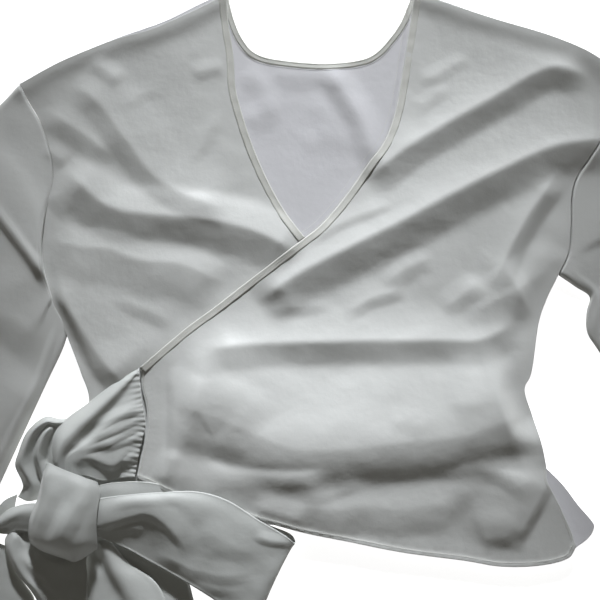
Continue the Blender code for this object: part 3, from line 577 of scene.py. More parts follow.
# %% A way to write shader maths
class Value:
    """A number inside a material. Arithmetic on it adds Math nodes."""

    def __init__(self, finish, socket):
        self.finish, self.socket = finish, socket

    def _math(self, operation, a, b=0.0):
        values = [v.socket if isinstance(v, Value) else v for v in (a, b)]
        node = self.finish.add("ShaderNodeMath", {"operation": operation}, {0: values[0], 1: values[1]})
        return Value(self.finish, node.outputs[0])

    def __add__(self, other):
        return self._math("ADD", self, other)

    def __radd__(self, other):
        return self._math("ADD", other, self)

    def __mul__(self, other):
        return self._math("MULTIPLY", self, other)

    def __rmul__(self, other):
        return self._math("MULTIPLY", other, self)


class Finish:
    """One material: its nodes are added and joined by name."""

    def __init__(self, name):
        self.material = bpy.data.materials.new(name)
        self.material.use_nodes = True
        self.nodes, self.links = self.material.node_tree.nodes, self.material.node_tree.links
        self.shader = self.nodes["Principled BSDF"]

    def add(self, kind, settings=None, inputs=None):
        node = self.nodes.new(kind)
        for key, value in (settings or {}).items():
            setattr(node, key, value)
        self.join(node, inputs or {})
        return node

    def join(self, node, inputs):
        for key, value in inputs.items():
            value = value.socket if isinstance(value, Value) else value
            if isinstance(value, bpy.types.NodeSocket):
                self.links.new(value, node.inputs[key])
            else:
                node.inputs[key].default_value = value

    def noise(self, place, scale, detail=2.0, roughness=0.5):
        return Value(self, self.add("ShaderNodeTexNoise", {}, {
            "Vector": place, "Scale": scale, "Detail": detail, "Roughness": roughness}).outputs[0])


print("A finish is written as sums and products of values, and each one adds a Math node")

# %% [markdown]
# ## Satin
#
# All the cloths come from one recipe. The wrong side is duller than the right one, and its tone is
# painted lighter and bluer for the cool light on it. The crumpled sashes are painted darker for shade, and
# the binding has a tone of its own.

# %% Satin
def satin(name, light, dark, roughness, weave=0.00006):
    """Ivory satin: two close tones in slow drifts, a fine twill of threads, and a soft sheen."""
    finish = Finish(name)
    place = finish.add("ShaderNodeTexCoord").outputs["Object"]
    drift = finish.noise(place, 11.0, 3.0)
    slub = finish.noise(place, 240.0, 2.0, 0.7)
    tone = finish.add("ShaderNodeMix", {"data_type": "RGBA"},
                      {0: drift * 0.7 + slub * 0.3, 6: light, 7: dark})
    threads = []
    for turn in (math.radians(27), math.radians(-63)):
        turned = finish.add("ShaderNodeMapping", {}, {"Vector": place, "Rotation": (0, 0, turn)})
        wave = finish.add("ShaderNodeTexWave", {"wave_type": "BANDS"}, {
            "Vector": turned.outputs[0], "Scale": 430.0, "Distortion": 1.2, "Detail": 1.0})
        threads.append(Value(finish, wave.outputs["Fac"]))
    relief = threads[0] * 0.6 + threads[1] * 0.4 + slub * 0.8
    bump = finish.add("ShaderNodeBump", {}, {"Strength": 0.35, "Distance": weave, "Height": relief})
    crush = finish.noise(place, 95.0, 3.0, 0.55)
    soft = finish.add("ShaderNodeBump", {}, {
        "Strength": 0.3, "Distance": 0.0010, "Height": crush, "Normal": bump.outputs[0]})
    finish.join(finish.shader, {
        "Base Color": tone.outputs[2], "Roughness": roughness + drift * 0.08 + slub * 0.05,
        "Normal": soft.outputs[0], "Sheen Weight": 0.22, "Sheen Roughness": 0.45,
        "Specular IOR Level": 0.42})
    return finish.material


SATIN = satin("ivory_satin", (0.665, 0.672, 0.655, 1), (0.625, 0.63, 0.61, 1), 0.40)
# painted light: the wrong side's tone is lighter and bluer than the satin's, for the cool light that falls on
# it
SATIN_INSIDE_PAINTED_LIGHT = satin("ivory_satin_reverse_painted_light", (0.70, 0.695, 0.715, 1), (0.67, 0.665, 0.685, 1), 0.55)
TRIM = satin("ivory_binding", (0.63, 0.63, 0.59, 1), (0.585, 0.585, 0.545, 1), 0.5)
# painted shade: the sashes' satin is darker than the body's, to dim the light on their edges and rims
SATIN_SASH_PAINTED_SHADE = satin("ivory_satin_painted_shade", (0.575, 0.59, 0.57, 1), (0.53, 0.54, 0.52, 1), 0.5)
THREAD = satin("ivory_thread", (0.72, 0.72, 0.66, 1), (0.66, 0.66, 0.60, 1), 0.6)
print("Finishes:", [cloth.name for cloth in (SATIN, SATIN_INSIDE_PAINTED_LIGHT, TRIM, SATIN_SASH_PAINTED_SHADE, THREAD)])


# %% [markdown]
# ## Back, under front and over front
#
# The three body panels are made in the order in which they lie.

# %% Body panels
back_outline = outline_of([BACK_NECK, SHOULDER_RIGHT, ARMHOLE_RIGHT, SIDE_RIGHT, BACK_CORNER_RIGHT, BACK_HEM,
                           SIDE_LEFT, ARMHOLE_LEFT, SHOULDER_LEFT])
FOLDS_BACK = {
    "ridge": ([(22, 240), (30, 228), (47, 202), (62, 178), (71, 148), (72, 124)], 3.0, 16, 14, 0.6, 0.7),
    "ridge_low": ([(6, 208), (26, 188), (40, 166), (50, 142)], 0.8, 14, 16, 0.5, 0.5),
    "press_left": ([(-54, 238), (-44, 222), (-34, 208), (-28, 182)], 1.0, 10, 14, 0.5, 0.6),
    "press_low": ([(-56, 172), (-44, 184), (-32, 188), (-16, 184)], 0.9, 12, 16, 0.5, 0.6),
    "press_mid": ([(0, 150), (18, 162), (34, 172)], 0.5, 12, 12, 0.5, 0.6),
    "neck_low": ([(-38, 234), (-10, 226), (30, 225), (60, 230)], 0.8, 10, 14, 0.4, 0.5),
}


def back_surface(points):
    """Height of the back with the folds that show inside the neck."""
    return back_top(points) + fold_height(points, FOLDS_BACK)


back = panel("back_panel", back_outline, back_surface, BACK_PITCH,
             hems=[curve(BACK_HEM)], ripple=0.15)
back.data.materials.append(SATIN_INSIDE_PAINTED_LIGHT)
as_cloth(back, ["back"])

under_outline = outline_of([FRONT_SHOULDER_LEFT, UNDER_NECK, UNDER_WRAP, UNDER_END, UNDER_HEM, UNDER_SIDE,
                            ARMHOLE_LEFT])
under = panel("under_front_panel", under_outline, under_top, PITCH, hems=[curve(UNDER_HEM)], seed=3.0)
under.data.materials.append(SATIN)
as_cloth(under, ["front_under"])

over_outline = outline_of([OVER_NECK, FRONT_SHOULDER_RIGHT, ARMHOLE_RIGHT, SIDE_RIGHT, OVER_SIDE_SEAM,
                           OVER_HEM,
                           GATHER_SEAM, OVER_WRAP])
over = panel("over_front_panel", over_outline, over_top, PITCH, hems=[curve(OVER_HEM)],
             gathered=[curve(GATHER_SEAM)], seed=5.0)
over.data.materials.append(SATIN)
as_cloth(over, ["front_over"])

# %% [markdown]
# ## Neck binding
#
# A bias strip is folded over each raw neck edge and stitched. It has a rounded section, so it
# is made as a row of sections along the edge, each standing on the panel under it.

# %% Binding strips
# the strip's section: how far in from the edge, and how high above the panel
BINDING_SECTION = [(0.0, -0.9), (0.0, 0.1), (0.4, 0.5), (1.1, 0.68), (1.7, 0.6), (3.4, 0.62), (5.6, 0.6),
                   (6.5, 0.66), (7.2, 0.5), (7.6, 0.08)]


BINDING_STEP = 2.4      # from section to section along the edge
BINDING_INSET = 0.05    # how far the strip's edge lies in from the raw edge
BINDING_WAVE = 0.10     # how far its surface waves up and down
BINDING_SKIN = 0.3      # its thickness
BINDING_EDGE = 0.25     # and along the neck edge


def closed_grid(name, lower, upper):
    """A closed solid between two grids of the same size."""
    rows, columns = lower.shape[:2]
    size = rows * columns
    vertices = np.concatenate([lower.reshape(-1, 3), upper.reshape(-1, 3)])
    faces = []
    for i in range(rows - 1):
        for j in range(columns - 1):
            a, b = i * columns + j, (i + 1) * columns + j
            faces.append((a, a + 1, b + 1, b))
            faces.append((size + a, size + b, size + b + 1, size + a + 1))
    rim = [(i, 0) for i in range(rows)] + [(rows - 1, j) for j in range(1, columns)]
    rim += [(i, columns - 1) for i in range(rows - 2, -1, -1)] + [(0, j) for j in range(columns - 2, 0, -1)]
    rim = [i * columns + j for i, j in rim]
    faces += [(a, b, b + size, a + size) for a, b in zip(rim, rim[1:] + rim[:1])]
    return add_object(name, vertices, faces)


def binding(name, edge, top_of, node, width=BINDING_WIDTH):
    """A folded strip along a neck edge, standing on the panel under it."""
    line = curve(edge, BINDING_STEP)
    along = np.arange(len(line)) * BINDING_STEP
    columns = []
    for across, height in BINDING_SECTION:
        place = offset_line(line, -across * width / BINDING_WIDTH - BINDING_INSET)
        wave = BINDING_WAVE * np.sin(along / 3.1 + 1.7 * np.sin(along / 17)) * (across > 0.4)
        columns.append(np.column_stack([place, top_of(place) + height + wave]))
    upper = np.stack(columns, axis=1)
    lower = upper.copy()
    lower[:, :, 2] -= [BINDING_SKIN if height > 0 else BINDING_EDGE for _, height in BINDING_SECTION]
    made = closed_grid(name, lower, upper)
    made.data.materials.append(TRIM)
    as_cloth(made, [node])
    print(name, len(made.data.polygons), "faces")


print("The binding's section has", len(BINDING_SECTION), "points over", BINDING_SECTION[-1][0], "mm")

# %% [markdown]
# ## The three stretches that show
#
# The stretch at the back neck is a little narrower, because it leans away. The one on the
# over front goes on down the crossing edge as far as the gathers.

# %% Bindings
binding("neck_binding_back", BACK_NECK, back_surface, "binding_back", 5.6)
binding("neck_binding_under", UNDER_NECK, under_top, "binding_under")
binding("neck_binding_over", OVER_WRAP[:-1] + OVER_NECK, over_top, "binding_over", 7.2)

# %% [markdown]
# ## Sleeves
#
# Each sleeve is a flattened tube. Its armhole end follows the body's armhole, with the same
# heights, so that the body's folds run on into it, and its long edges are round folds.

# %% Sleeve tables
SLEEVE_LEFT_OUTER = [(-279.6, 215.6), (-300, 194), (-342, 154), (-385, 85), (-422, -10), (-452, -110),
                     (-478, -200),
                     (-496, -284)]
SLEEVE_LEFT_INNER = [(-257.4, 30.5), (-250, 10), (-239, -18), (-233, -38), (-257, -92), (-300, -185),
                     (-336, -263),
                     (-372, -342)]
SLEEVE_RIGHT_OUTER = [(316.8, 227.4), (355, 202), (402, 150), (445, 65), (485, -35), (522, -140), (550, -220),
                      (568, -275)]
SLEEVE_RIGHT_INNER = [(258, 24.5), (275, 13), (289, 3), (286, -12), (287, -33), (300, -54), (340, -120),
                      (390, -210), (445, -332)]
CUFF_LEFT = [(-496, -284), (-436, -318), (-372, -342)]
CUFF_RIGHT = [(568, -275), (508, -308), (445, -332)]
FOLDS_SLEEVE_LEFT = {
    "bend": ([(-360, 150), (-316, 110), (-288, 74), (-266, 45), (-244, 10)], 4.6, 46, 8, 0.1, 0.9),
    "bend_shade": ([(-360, 142), (-320, 102), (-300, 80), (-280, 54), (-262, 32), (-246, 8)], 2.4, 8, 70,
                   0.1, 1.0),
    "elbow": ([(-330, 0), (-300, -12), (-280, -22), (-264, -34), (-248, -38)], 3.0, 50, 26, 0.2, 0.6),
    "forearm": ([(-320, -170), (-306, -140), (-290, -116), (-276, -94), (-260, -72)], 3.0, 40, 20, 0.2, 0.6),
    "seam": ([(-330, -220), (-294, -147), (-262, -81), (-240, -19)], 0.9, 3, 3, 0.3, 0.7),
    "cap": ([(-296, 188), (-280, 184), (-266, 176), (-254, 164)], 1.6, 16, 16, 0.5, 0.6),
}
FOLDS_SLEEVE_RIGHT = {
    "bend": ([(248, 28), (272, 48), (312, 70), (390, 120)], 2.2, 40, 5, 0.1, 0.9),
    "seam": ([(306, -45), (300, -38), (295, -26), (297, -6), (295, 5), (287, 14), (275, 23), (258, 37)], 0.9,
             3, 3, 0.3, 0.7),
    "cap": ([(266, 150), (280, 158), (300, 162), (340, 160), (380, 148)], 8.0, 40, 30, 0.85, 0.9),
    "high": ([(260, 226), (280, 218), (300, 204), (340, 182)], 3.0, 30, 20, 0.7, 0.8),
    "forearm": ([(300, -30), (325, -50), (380, -130), (440, -240)], 4, 28, 28, 0.2, 0.6),
}
SLEEVE_EDGE = 4.2       # height of the upper layer along the folded edges
SLEEVE_LOFT = 3.2       # how much higher it lies along the middle
SLEEVE_ROUND = 6.0      # how far in from the edge the fold rounds off
CUFF_HEM = 9.0          # depth of the hem at the cuff
CUFF_RISE = 0.5         # how much higher that stands
SLEEVE_JOIN = 9         # the body's heights run out over one part in this many of its length
SLEEVE_INSET = 10.0     # a fold dies away over this width at the folded edges
SLEEVE_RIPPLE = (30, 0.4, 7.0)          # feature size, depth and seed of its unevenness
SEAM_LEVEL = 0.35       # how high its folded edges lie between the floor and its upper side
LEAST_HOLLOW = 0.05     # the two layers never touch
print(len(FOLDS_SLEEVE_LEFT), "folds on the left sleeve and", len(FOLDS_SLEEVE_RIGHT), "on the right")


# %% [markdown]
# ## Making a sleeve
#
# A grid runs from the armhole to the cuff. Its outside and its hollow are rings of the same
# points, joined at both open ends.

# %% Sleeve maker
def sleeve(name, node, armhole, outer, inner, cuff, body_top, folds, along=160, across=84):
    """A flattened tube between an armhole and a cuff: outer and inner skins, open at both ends."""
    u = (1 - np.cos(np.linspace(0, np.pi, across))) / 2 * 0.5 + np.linspace(0, 1, across) * 0.5
    a = through(curve(armhole, count=200), u)
    c = through(curve(cuff, count=60), u)
    o, i = curve(outer, count=along), curve(inner, count=along)
    uu, v = u[None, :, None], np.linspace(0, 1, along)[:, None, None]
    plan = (1 - v) * a[None] + v * c[None] + (1 - uu) * o[:, None] + uu * i[:, None]
    plan -= (1 - v) * ((1 - uu) * a[0] + uu * a[-1]) + v * ((1 - uu) * c[0] + uu * c[-1])
    flat = plan.reshape(-1, 2)
    width = np.linalg.norm(plan[:, -1] - plan[:, 0], axis=1)[:, None]
    edge = np.minimum(u, 1 - u)[None] * width
    rounded = np.sqrt(np.clip(1 - (1 - np.clip(edge / SLEEVE_ROUND, 0, 1)) ** 2, 0, 1))
    own = (SLEEVE_EDGE + SLEEVE_LOFT * np.sin(np.pi * u)[None] ** 0.7
           + fold_height(flat, folds).reshape(along, across) * smooth(edge / SLEEVE_INSET)
           + undulation(flat, *SLEEVE_RIPPLE).reshape(along, across))
    joined = smooth(v[..., 0] * SLEEVE_JOIN)
    top = body_top(flat).reshape(along, across) * (1 - joined) + own * joined
    top += seam_ditch(flat, curve(armhole, 4)).reshape(along, across)
    from_cuff = near(flat, curve(cuff, 4), 14)[0]
    top += CUFF_RISE * smooth(CUFF_HEM - from_cuff).reshape(along, across)
    middle = CLOTH + (top - CLOTH) * SEAM_LEVEL
    upper = middle + (top - middle) * rounded
    lower = middle * (1 - rounded)
    centre = plan.mean(1, keepdims=True)
    within = centre + (plan - centre) * (1 - 2 * CLOTH / width[..., None])

    def ring(points, low, high):
        """Out along the lower layer and back along the upper one."""
        under_side = np.concatenate([points, low[..., None]], axis=2)
        over_side = np.concatenate([points, high[..., None]], axis=2)
        return np.concatenate([under_side, over_side[:, ::-1]], axis=1)

    outside = ring(plan, lower, upper)
    gap_half = np.maximum(upper - lower - 2 * CLOTH, LEAST_HOLLOW) / 2
    mid = (upper + lower) / 2
    hollow = ring(within, mid - gap_half, mid + gap_half)
    n = 2 * across
    vertices = np.concatenate([outside.reshape(-1, 3), hollow.reshape(-1, 3)])
    faces, far = [], along * n
    for s in range(along - 1):
        for k in range(n):
            p, q = s * n + k, s * n + (k + 1) % n
            faces.append((p, q, q + n, p + n))
            faces.append((far + p, far + p + n, far + q + n, far + q))
    for s in (0, along - 1):
        for k in range(n):
            p, q = s * n + k, s * n + (k + 1) % n
            faces.append((p, q, far + q, far + p))
    made = add_object(name, vertices, faces)
    made.data.materials.append(SATIN)
    as_cloth(made, [node])


left_hole = offset_line(curve(ARMHOLE_LEFT), SEAM_GAP)[::-1]
right_hole = offset_line(curve(ARMHOLE_RIGHT), SEAM_GAP)
sleeve("sleeve_left_tube", "sleeve_left", left_hole, SLEEVE_LEFT_OUTER, SLEEVE_LEFT_INNER, CUFF_LEFT,
       under_top, FOLDS_SLEEVE_LEFT)
sleeve("sleeve_right_tube", "sleeve_right", right_hole, SLEEVE_RIGHT_OUTER, SLEEVE_RIGHT_INNER, CUFF_RIGHT,
       over_top, FOLDS_SLEEVE_RIGHT)

# %% [markdown]
# ## Sashes, knot and bow
#
# A tied sash is one strip that turns, folds and gathers. Each stretch that shows is a smooth
# surface through a few sections. A section is a row of points across the strip, and its
# heights hold the gathers. The cloth is then given its thickness along the surface's normals.

# %% Sash tables
SASH_GATHER = [
    [(-159.9, -68, 9), (-159.7, -70, 11), (-159.3, -73, 11), (-157.2, -98, 12), (-153.4, -121, 12),
     (-156.6, -140, 12),
     (-161, -159, 11), (-164, -176, 9.5)],
    [(-185, -83, 8.5), (-179, -88, 15), (-172, -92, 12), (-168, -108, 15), (-166, -124, 13),
     (-169, -146, 14), (-172, -162, 12),
     (-174, -176.5, 9.5)],
    [(-210, -102, 8.5), (-201, -109, 19), (-192, -115, 14), (-187, -124, 17), (-183, -137, 16),
     (-183, -160, 16), (-185, -170, 12),
     (-187, -179, 10)],
    [(-232, -118, 8.5), (-220, -126, 22), (-208, -132, 15), (-204, -138, 18), (-200, -146, 17),
     (-200, -157, 17), (-199, -168, 14),
     (-197, -179, 12)],
    [(-244, -134, 12), (-233, -140, 25), (-221, -144, 19), (-217, -147, 20), (-215, -151, 20),
     (-214, -157, 20), (-212, -166, 17),
     (-208, -175, 15)],
    [(-244, -155, 16), (-238, -156, 24), (-231, -155, 21), (-228, -156, 21), (-225, -159, 21),
     (-223, -163, 20), (-220, -168, 18),
     (-216, -174, 16)],
    [(-240, -176, 16), (-236, -176, 20), (-232, -176, 19), (-229, -176, 19), (-226, -177, 19),
     (-224, -178, 18), (-221, -180, 17),
     (-218, -183, 15)],
]
SASH_TURN = [
    [(-222, -117, 6), (-224, -121, 6.5), (-225, -125, 6.5), (-226, -129, 6.5), (-227, -133, 6.5),
     (-228, -138, 6.3), (-229, -142, 6)],
    [(-237, -118.5, 7), (-240, -122, 12), (-242, -125, 9), (-243, -128, 10), (-243, -132, 8),
     (-242, -137, 6), (-240, -142, 4)],
    [(-254, -116.5, 8), (-252, -121, 15), (-250, -125, 10), (-248, -128, 14), (-246, -133, 9),
     (-243, -139, 6), (-239, -144, 4)],
    [(-271, -131, 8), (-265, -131, 17), (-258, -133, 11), (-253, -134, 16), (-249, -138, 9), (-245, -143, 7),
     (-240, -148, 4)],
    [(-280, -152, 8), (-273, -149, 18), (-264, -147, 10), (-258, -147, 16), (-252, -148, 8), (-246, -150, 7),
     (-240, -153, 4)],
    [(-283, -165, 8), (-275, -163, 17), (-265, -159, 9), (-259, -158, 15), (-253, -158, 6), (-247, -158, 7),
     (-240, -160, 5)],
    [(-277, -179, 7), (-269, -176, 14), (-262, -171, 7), (-257, -168, 12), (-252, -166, 7), (-246, -166, 6),
     (-240, -168, 5)],
    [(-276, -187, 6), (-266, -186, 11), (-258, -184, 6), (-254, -181, 9), (-250, -178, 7), (-245, -177, 6),
     (-240, -178, 5)],
    [(-281, -196, 5), (-270, -200, 8), (-260, -198, 6), (-254, -195, 6), (-248, -192, 5), (-244, -190, 5),
     (-240, -190, 4)],
]
LOOP_LEFT = [
    [(-250, -203, 17), (-250, -211, 18), (-251, -220, 16), (-253, -228, 13)],
    [(-262, -201, 15), (-264, -209, 18), (-266, -220, 16), (-267, -230, 13)],
    [(-276, -203, 11), (-277, -210, 16), (-279, -219, 14), (-280, -229, 11)],
    [(-291, -209, 9), (-291, -216, 14), (-292, -224, 12), (-291, -232.5, 9)],
    [(-306, -222, 6), (-307, -225, 8), (-307, -228, 8), (-306, -231, 6)],
    [(-310.5, -218, 3.8), (-311, -221, 4.3), (-311, -225, 4.3), (-310.5, -229, 3.8)],
    [(-306, -213, 2), (-307, -217, 2.2), (-307, -222, 2.2), (-306, -227, 2)],
    [(-295, -200, 2.4), (-296, -207, 3.4), (-297, -215, 3.4), (-298, -223, 2.4)],
    [(-282, -193.5, 2.4), (-284, -204, 3.4), (-285, -214, 3.4), (-287, -223, 2.4)],
]
TAIL_LEFT = [
    [(-264, -226, 14), (-260, -230, 12), (-252, -235, 13), (-238, -240, 14), (-220, -245, 14),
     (-208, -245, 13)],
    [(-279, -226, 12), (-274, -233, 5.5), (-267, -241, 9), (-248, -250, 12), (-222, -256, 11),
     (-212, -258, 10)],
    [(-289, -231, 9), (-282, -236, 13), (-272, -248, 8.5), (-250, -260, 12), (-224, -262, 10),
     (-212, -266, 8)],
    [(-294, -243, 5), (-286, -250, 14), (-272, -260, 10.5), (-250, -272, 12), (-224, -274, 8),
     (-211.5, -274, 7)],
    [(-286, -267, 4), (-276, -272, 13), (-262, -278, 9), (-244, -284, 10.5), (-224, -286, 7),
     (-211.5, -287, 6)],
    [(-262, -300, 4.5), (-254, -301, 10), (-242, -304, 9), (-228, -308, 8), (-218, -310, 6.5),
     (-210, -312, 5.5)],
    [(-248, -350, 3.6), (-238, -351, 7), (-226, -352, 8), (-214, -352, 6), (-204, -351, 5), (-194, -350, 4)],
    [(-256, -442, 2), (-236, -445, 3), (-216, -446, 4), (-196, -446, 4), (-178, -444, 3), (-160, -442, 2)],
]
TAIL_FAR = [
    [(-306, -241, 1.5), (-292, -246, 2.2), (-280, -253, 2.4)],
    [(-322, -260, 1.5), (-300, -270, 3), (-276, -280, 1.8)],
    [(-334, -300, 1.5), (-300, -305, 4), (-264, -304, 2)],
    [(-344, -360, 1.5), (-308, -364, 3.5), (-266, -364, 2)],
]
TAIL_RIGHT = [
    [(-230, -230, 9), (-222, -232, 9), (-214, -234, 9), (-207, -233, 9), (-198, -230, 9)],
    [(-216, -256, 4.6), (-209, -258, 4.8), (-201, -256, 5), (-195, -247, 11), (-187, -241, 9)],
    [(-216, -275, 4), (-205, -276, 4.4), (-193, -276, 5), (-184, -268, 11), (-170, -262, 6)],
    [(-215, -300, 3.6), (-198, -301, 4), (-180, -300, 5), (-166, -294, 10), (-140, -286, 5)],
    [(-194, -350, 3), (-178, -350, 5), (-156, -348, 6), (-137, -346, 8), (-118, -344, 4)],
    [(-158, -418, 1.6), (-134, -422, 2), (-110, -424, 4), (-88, -422, 4), (-66, -416, 1.6)],
]
TAIL_UNDER = [
    [(-210, -230, 1.9), (-164, -238, 1.9), (-114, -270, 1.4)],
    [(-208, -260, 1.9), (-160, -268, 2.2), (-109, -288, 1.4)],
    [(-204, -302, 1.9), (-154, -304, 2.4), (-104, -306, 1.4)],
    [(-180, -352, 1.9), (-132, -354, 2.4), (-86, -352, 1.4)],
]
BOW_LOOP = [
    [(-210, -196, 22), (-210, -205, 19.8), (-210, -213, 20), (-210, -220, 17), (-209, -229, 14)],
    [(-198, -195, 22), (-198, -207, 22.8), (-199, -222, 21), (-199, -227, 18), (-200, -234, 14)],
    [(-174, -192, 21), (-172, -200, 23.8), (-170, -213, 22), (-173, -230, 16.5), (-175, -245, 12.5)],
    [(-143, -189.5, 21), (-142, -198, 24.8), (-144, -213, 23), (-149, -239, 15.5), (-152, -258, 11)],
    [(-103, -188.5, 20), (-104, -204, 23.8), (-114, -240, 20), (-116, -262, 15), (-114, -279, 11)],
    [(-72, -197, 20), (-74, -216, 21.8), (-80, -246, 20), (-83, -271, 15.5), (-86, -297, 10.5)],
    [(-42, -216, 19), (-44, -233, 19.8), (-51, -261, 17), (-57, -288, 14), (-64, -314, 10)],
    [(-16, -232, 14.5), (-21, -248, 13.8), (-29, -269, 14), (-39, -292, 13), (-50, -320, 9)],
    [(-5, -241.5, 9.5), (-10, -249, 7.8), (-20, -268, 9), (-31, -292, 8), (-43, -322, 6)],
    [(-10, -233, 3.5), (-19, -249, 3.5), (-28, -269, 3.5), (-39, -292, 3.5), (-49, -319, 3)],
    [(-36, -221, 9.8), (-50, -240, 7), (-57, -265, 5), (-64, -288, 3), (-71, -310, 2.4)],
    [(-78, -199, 10), (-84, -220, 9), (-92, -245, 8), (-100, -265, 5), (-105, -282, 4.4)],
    [(-115, -190, 10), (-119, -205, 10), (-124, -225, 9), (-128, -240, 7.5), (-132, -256, 7)],
    [(-147, -181, 11), (-150, -195, 12), (-154, -210, 12), (-158, -225, 10), (-160, -240, 8)],
    [(-175, -180, 13), (-178, -190, 15), (-182, -202, 15), (-185, -215, 13), (-187, -229, 9.5)],
    [(-196, -182.5, 15), (-197, -190, 16), (-198, -199, 15), (-199, -209, 14), (-200, -218, 11)],
    [(-208, -188, 14), (-209, -193, 15), (-210, -199, 14), (-210, -205, 13), (-211, -212, 11)],
]
KNOT_BAND = [
    [(-250, -161, 20), (-244, -160.5, 28), (-230, -166, 32), (-212, -173, 31), (-199, -179, 23)],
    [(-254, -174, 17), (-247, -172, 33), (-226, -179, 37), (-208, -185, 35), (-196.5, -189, 23)],
    [(-258, -194, 18), (-250, -194, 35), (-230, -200, 40), (-210, -204, 37), (-198.5, -206, 25)],
    [(-266, -215, 19), (-256, -215, 34), (-234, -220, 41.5), (-212, -222, 37), (-200, -223, 24)],
    [(-268, -233, 17), (-258, -235, 30), (-236, -240, 37), (-214, -241, 33), (-200, -241, 19)],
    [(-266, -241, 14), (-254, -247, 20), (-234, -253, 24), (-220, -257, 21), (-201, -246, 14)],
]
SASH_TABLES = {
    "gather": SASH_GATHER, "turn": SASH_TURN, "left loop": LOOP_LEFT, "left tail": TAIL_LEFT,
    "far tail": TAIL_FAR, "right tail": TAIL_RIGHT, "under tail": TAIL_UNDER, "bow loop": BOW_LOOP,
    "knot band": KNOT_BAND,
}
print("Sections of each stretch:", {title: len(table) for title, table in SASH_TABLES.items()})

# %% [markdown]
# ## Making a stretch of sash
#
# The finer folds are added where they lie in plan. The long edges are turned in, so they are
# a little thicker than the rest and end in a thin rim.

# %% Sash maker
GATHERED = 1.06         # the cut is this much larger than the surface, for the fine gathers
SASH_RIPPLE = (17, 0.35)                # feature size and depth of its unevenness
SASH_TURNED = 0.35      # how much thicker the turned edge is, as a share of the cloth
SASH_RIM = 0.3          # thickness of the very rim, as a share
ROW_FADE = 0.03         # folds on one layer of a doubled strip die away over this share of it


def measured(table):
    """The area of the surface through a table's sections, in square metres."""
    grid = lofted(table, 60, 30) * MM
    a, b = grid[1:, 1:] - grid[:-1, :-1], grid[1:, :-1] - grid[:-1, 1:]
    return float(np.linalg.norm(np.cross(a, b), axis=2).sum() / 2)


def sash(name, node, table, along=110, across=50, folds=None, fold_rows=(0, 1),
         seed=11.0,
         material=SATIN_SASH_PAINTED_SHADE, gathered=None):
    """A stretch of sash: a smooth surface through its sections, with its finer folds added in plan."""
    middle = lofted(table, along, across)
    plan = middle.reshape(-1, 3)[:, :2]
    extra = undulation(plan, *SASH_RIPPLE, seed).reshape(along, across)
    if folds:
        v = np.linspace(0, 1, along)[:, None]
        among = smooth((v - fold_rows[0]) / ROW_FADE + 1) * smooth((fold_rows[1] - v) / ROW_FADE + 1)
        extra += fold_height(plan, folds).reshape(along, across) * among
    if gathered is not None:
        extra += seam_ditch(plan, gathered, 0.6, 1.8, 0.7, GATHER_PITCH).reshape(along, across)
    middle[..., 2] += extra
    du, dv = np.gradient(middle, axis=0), np.gradient(middle, axis=1)
    normal = np.cross(du, dv)
    normal /= np.maximum(np.linalg.norm(normal, axis=2, keepdims=True), 1e-9)
    v_edge = np.minimum(np.arange(across), np.arange(across)[::-1])[None, :, None]
    thick = CLOTH * (1 + SASH_TURNED * (v_edge < 3)) * np.where(v_edge == 0, SASH_RIM, 1)
    made = closed_grid(name, middle - normal * thick / 2, middle + normal * thick / 2)
    made.data.materials.append(material)
    area = round(GATHERED * measured(table), 5)
    as_cloth(made, [node])


print("The sash's cloth is cut", GATHERED, "times as large as its surface")

# %% [markdown]
# ## The gathers, the knot and the bow
#
# Each stretch of the two sashes is made in turn. The pleats that fan out of the gathered
# seam, the turns of the bow and the streaks over the knot have fold tables of their own.

# %% Sash pieces
FOLDS_GATHER = {
    "pleat_1": ([(-208, -131), (-194, -122), (-178, -114), (-153, -107), (-147, -105)], 1.9, 6, 4, 0.5, 0.7),
    "pleat_2": ([(-214, -140), (-193, -132), (-176, -125), (-153, -114), (-147, -111)], 1.9, 6, 4, 0.5, 0.7),
    "pleat_3": ([(-224, -150), (-197, -143), (-178, -134), (-154, -122), (-147, -119)], 1.9, 6, 4, 0.5, 0.7),
    "pleat_4": ([(-200, -149), (-193, -146), (-178, -141), (-156, -134), (-149, -132)], 1.5, 5, 4, 0.5, 0.7),
    "smile": ([(-224, -152), (-208, -154), (-193, -162), (-185, -164), (-177, -160), (-166, -152),
               (-156, -144)], 1.2, 14, 3.6, 0.7, 0.9),
    "pleat_6": ([(-176, -166), (-166, -157), (-157, -153)], 1.2, 4, 3.5, 0.5, 0.7),
    "pleat_7": ([(-180, -179), (-170, -176), (-160, -172)], 1.2, 4, 3.5, 0.5, 0.7),
}
FOLDS_BOW = {
    "lit_band": ([(-206, -223), (-182, -217), (-152, -209), (-130, -221), (-116, -239), (-109, -256)], 2.0,
                 16, 6, 0.4, 0.8),
    "inner": ([(-192, -231), (-180, -227), (-164, -225), (-148, -227)], 0.9, 5, 6, 0.5, 0.7),
    "slant_1": ([(-150, -248), (-128, -256), (-104, -266), (-74, -273), (-44, -268)], 1.4, 12, 9, 0.6, 0.7),
    "slant_2": ([(-130, -266), (-104, -278), (-78, -286), (-54, -286)], 1.1, 10, 8, 0.6, 0.7),
    "slant_3": ([(-104, -220), (-86, -232), (-64, -244), (-42, -252)], 0.9, 14, 12, 0.5, 0.6),
    "corner": ([(-46, -230), (-34, -236), (-20, -239), (-6, -241)], 1.2, 6, 5, 0.5, 0.8),
    "hem_turn": ([(-196, -234), (-172, -249), (-142, -266), (-116, -280), (-84, -298)], 0.6, 3, 3, 0.4, 0.8),
    "upper_turn": ([(-194, -200), (-160, -194), (-130, -193), (-104, -196)], 0.8, 5, 8, 0.5, 0.7),
}
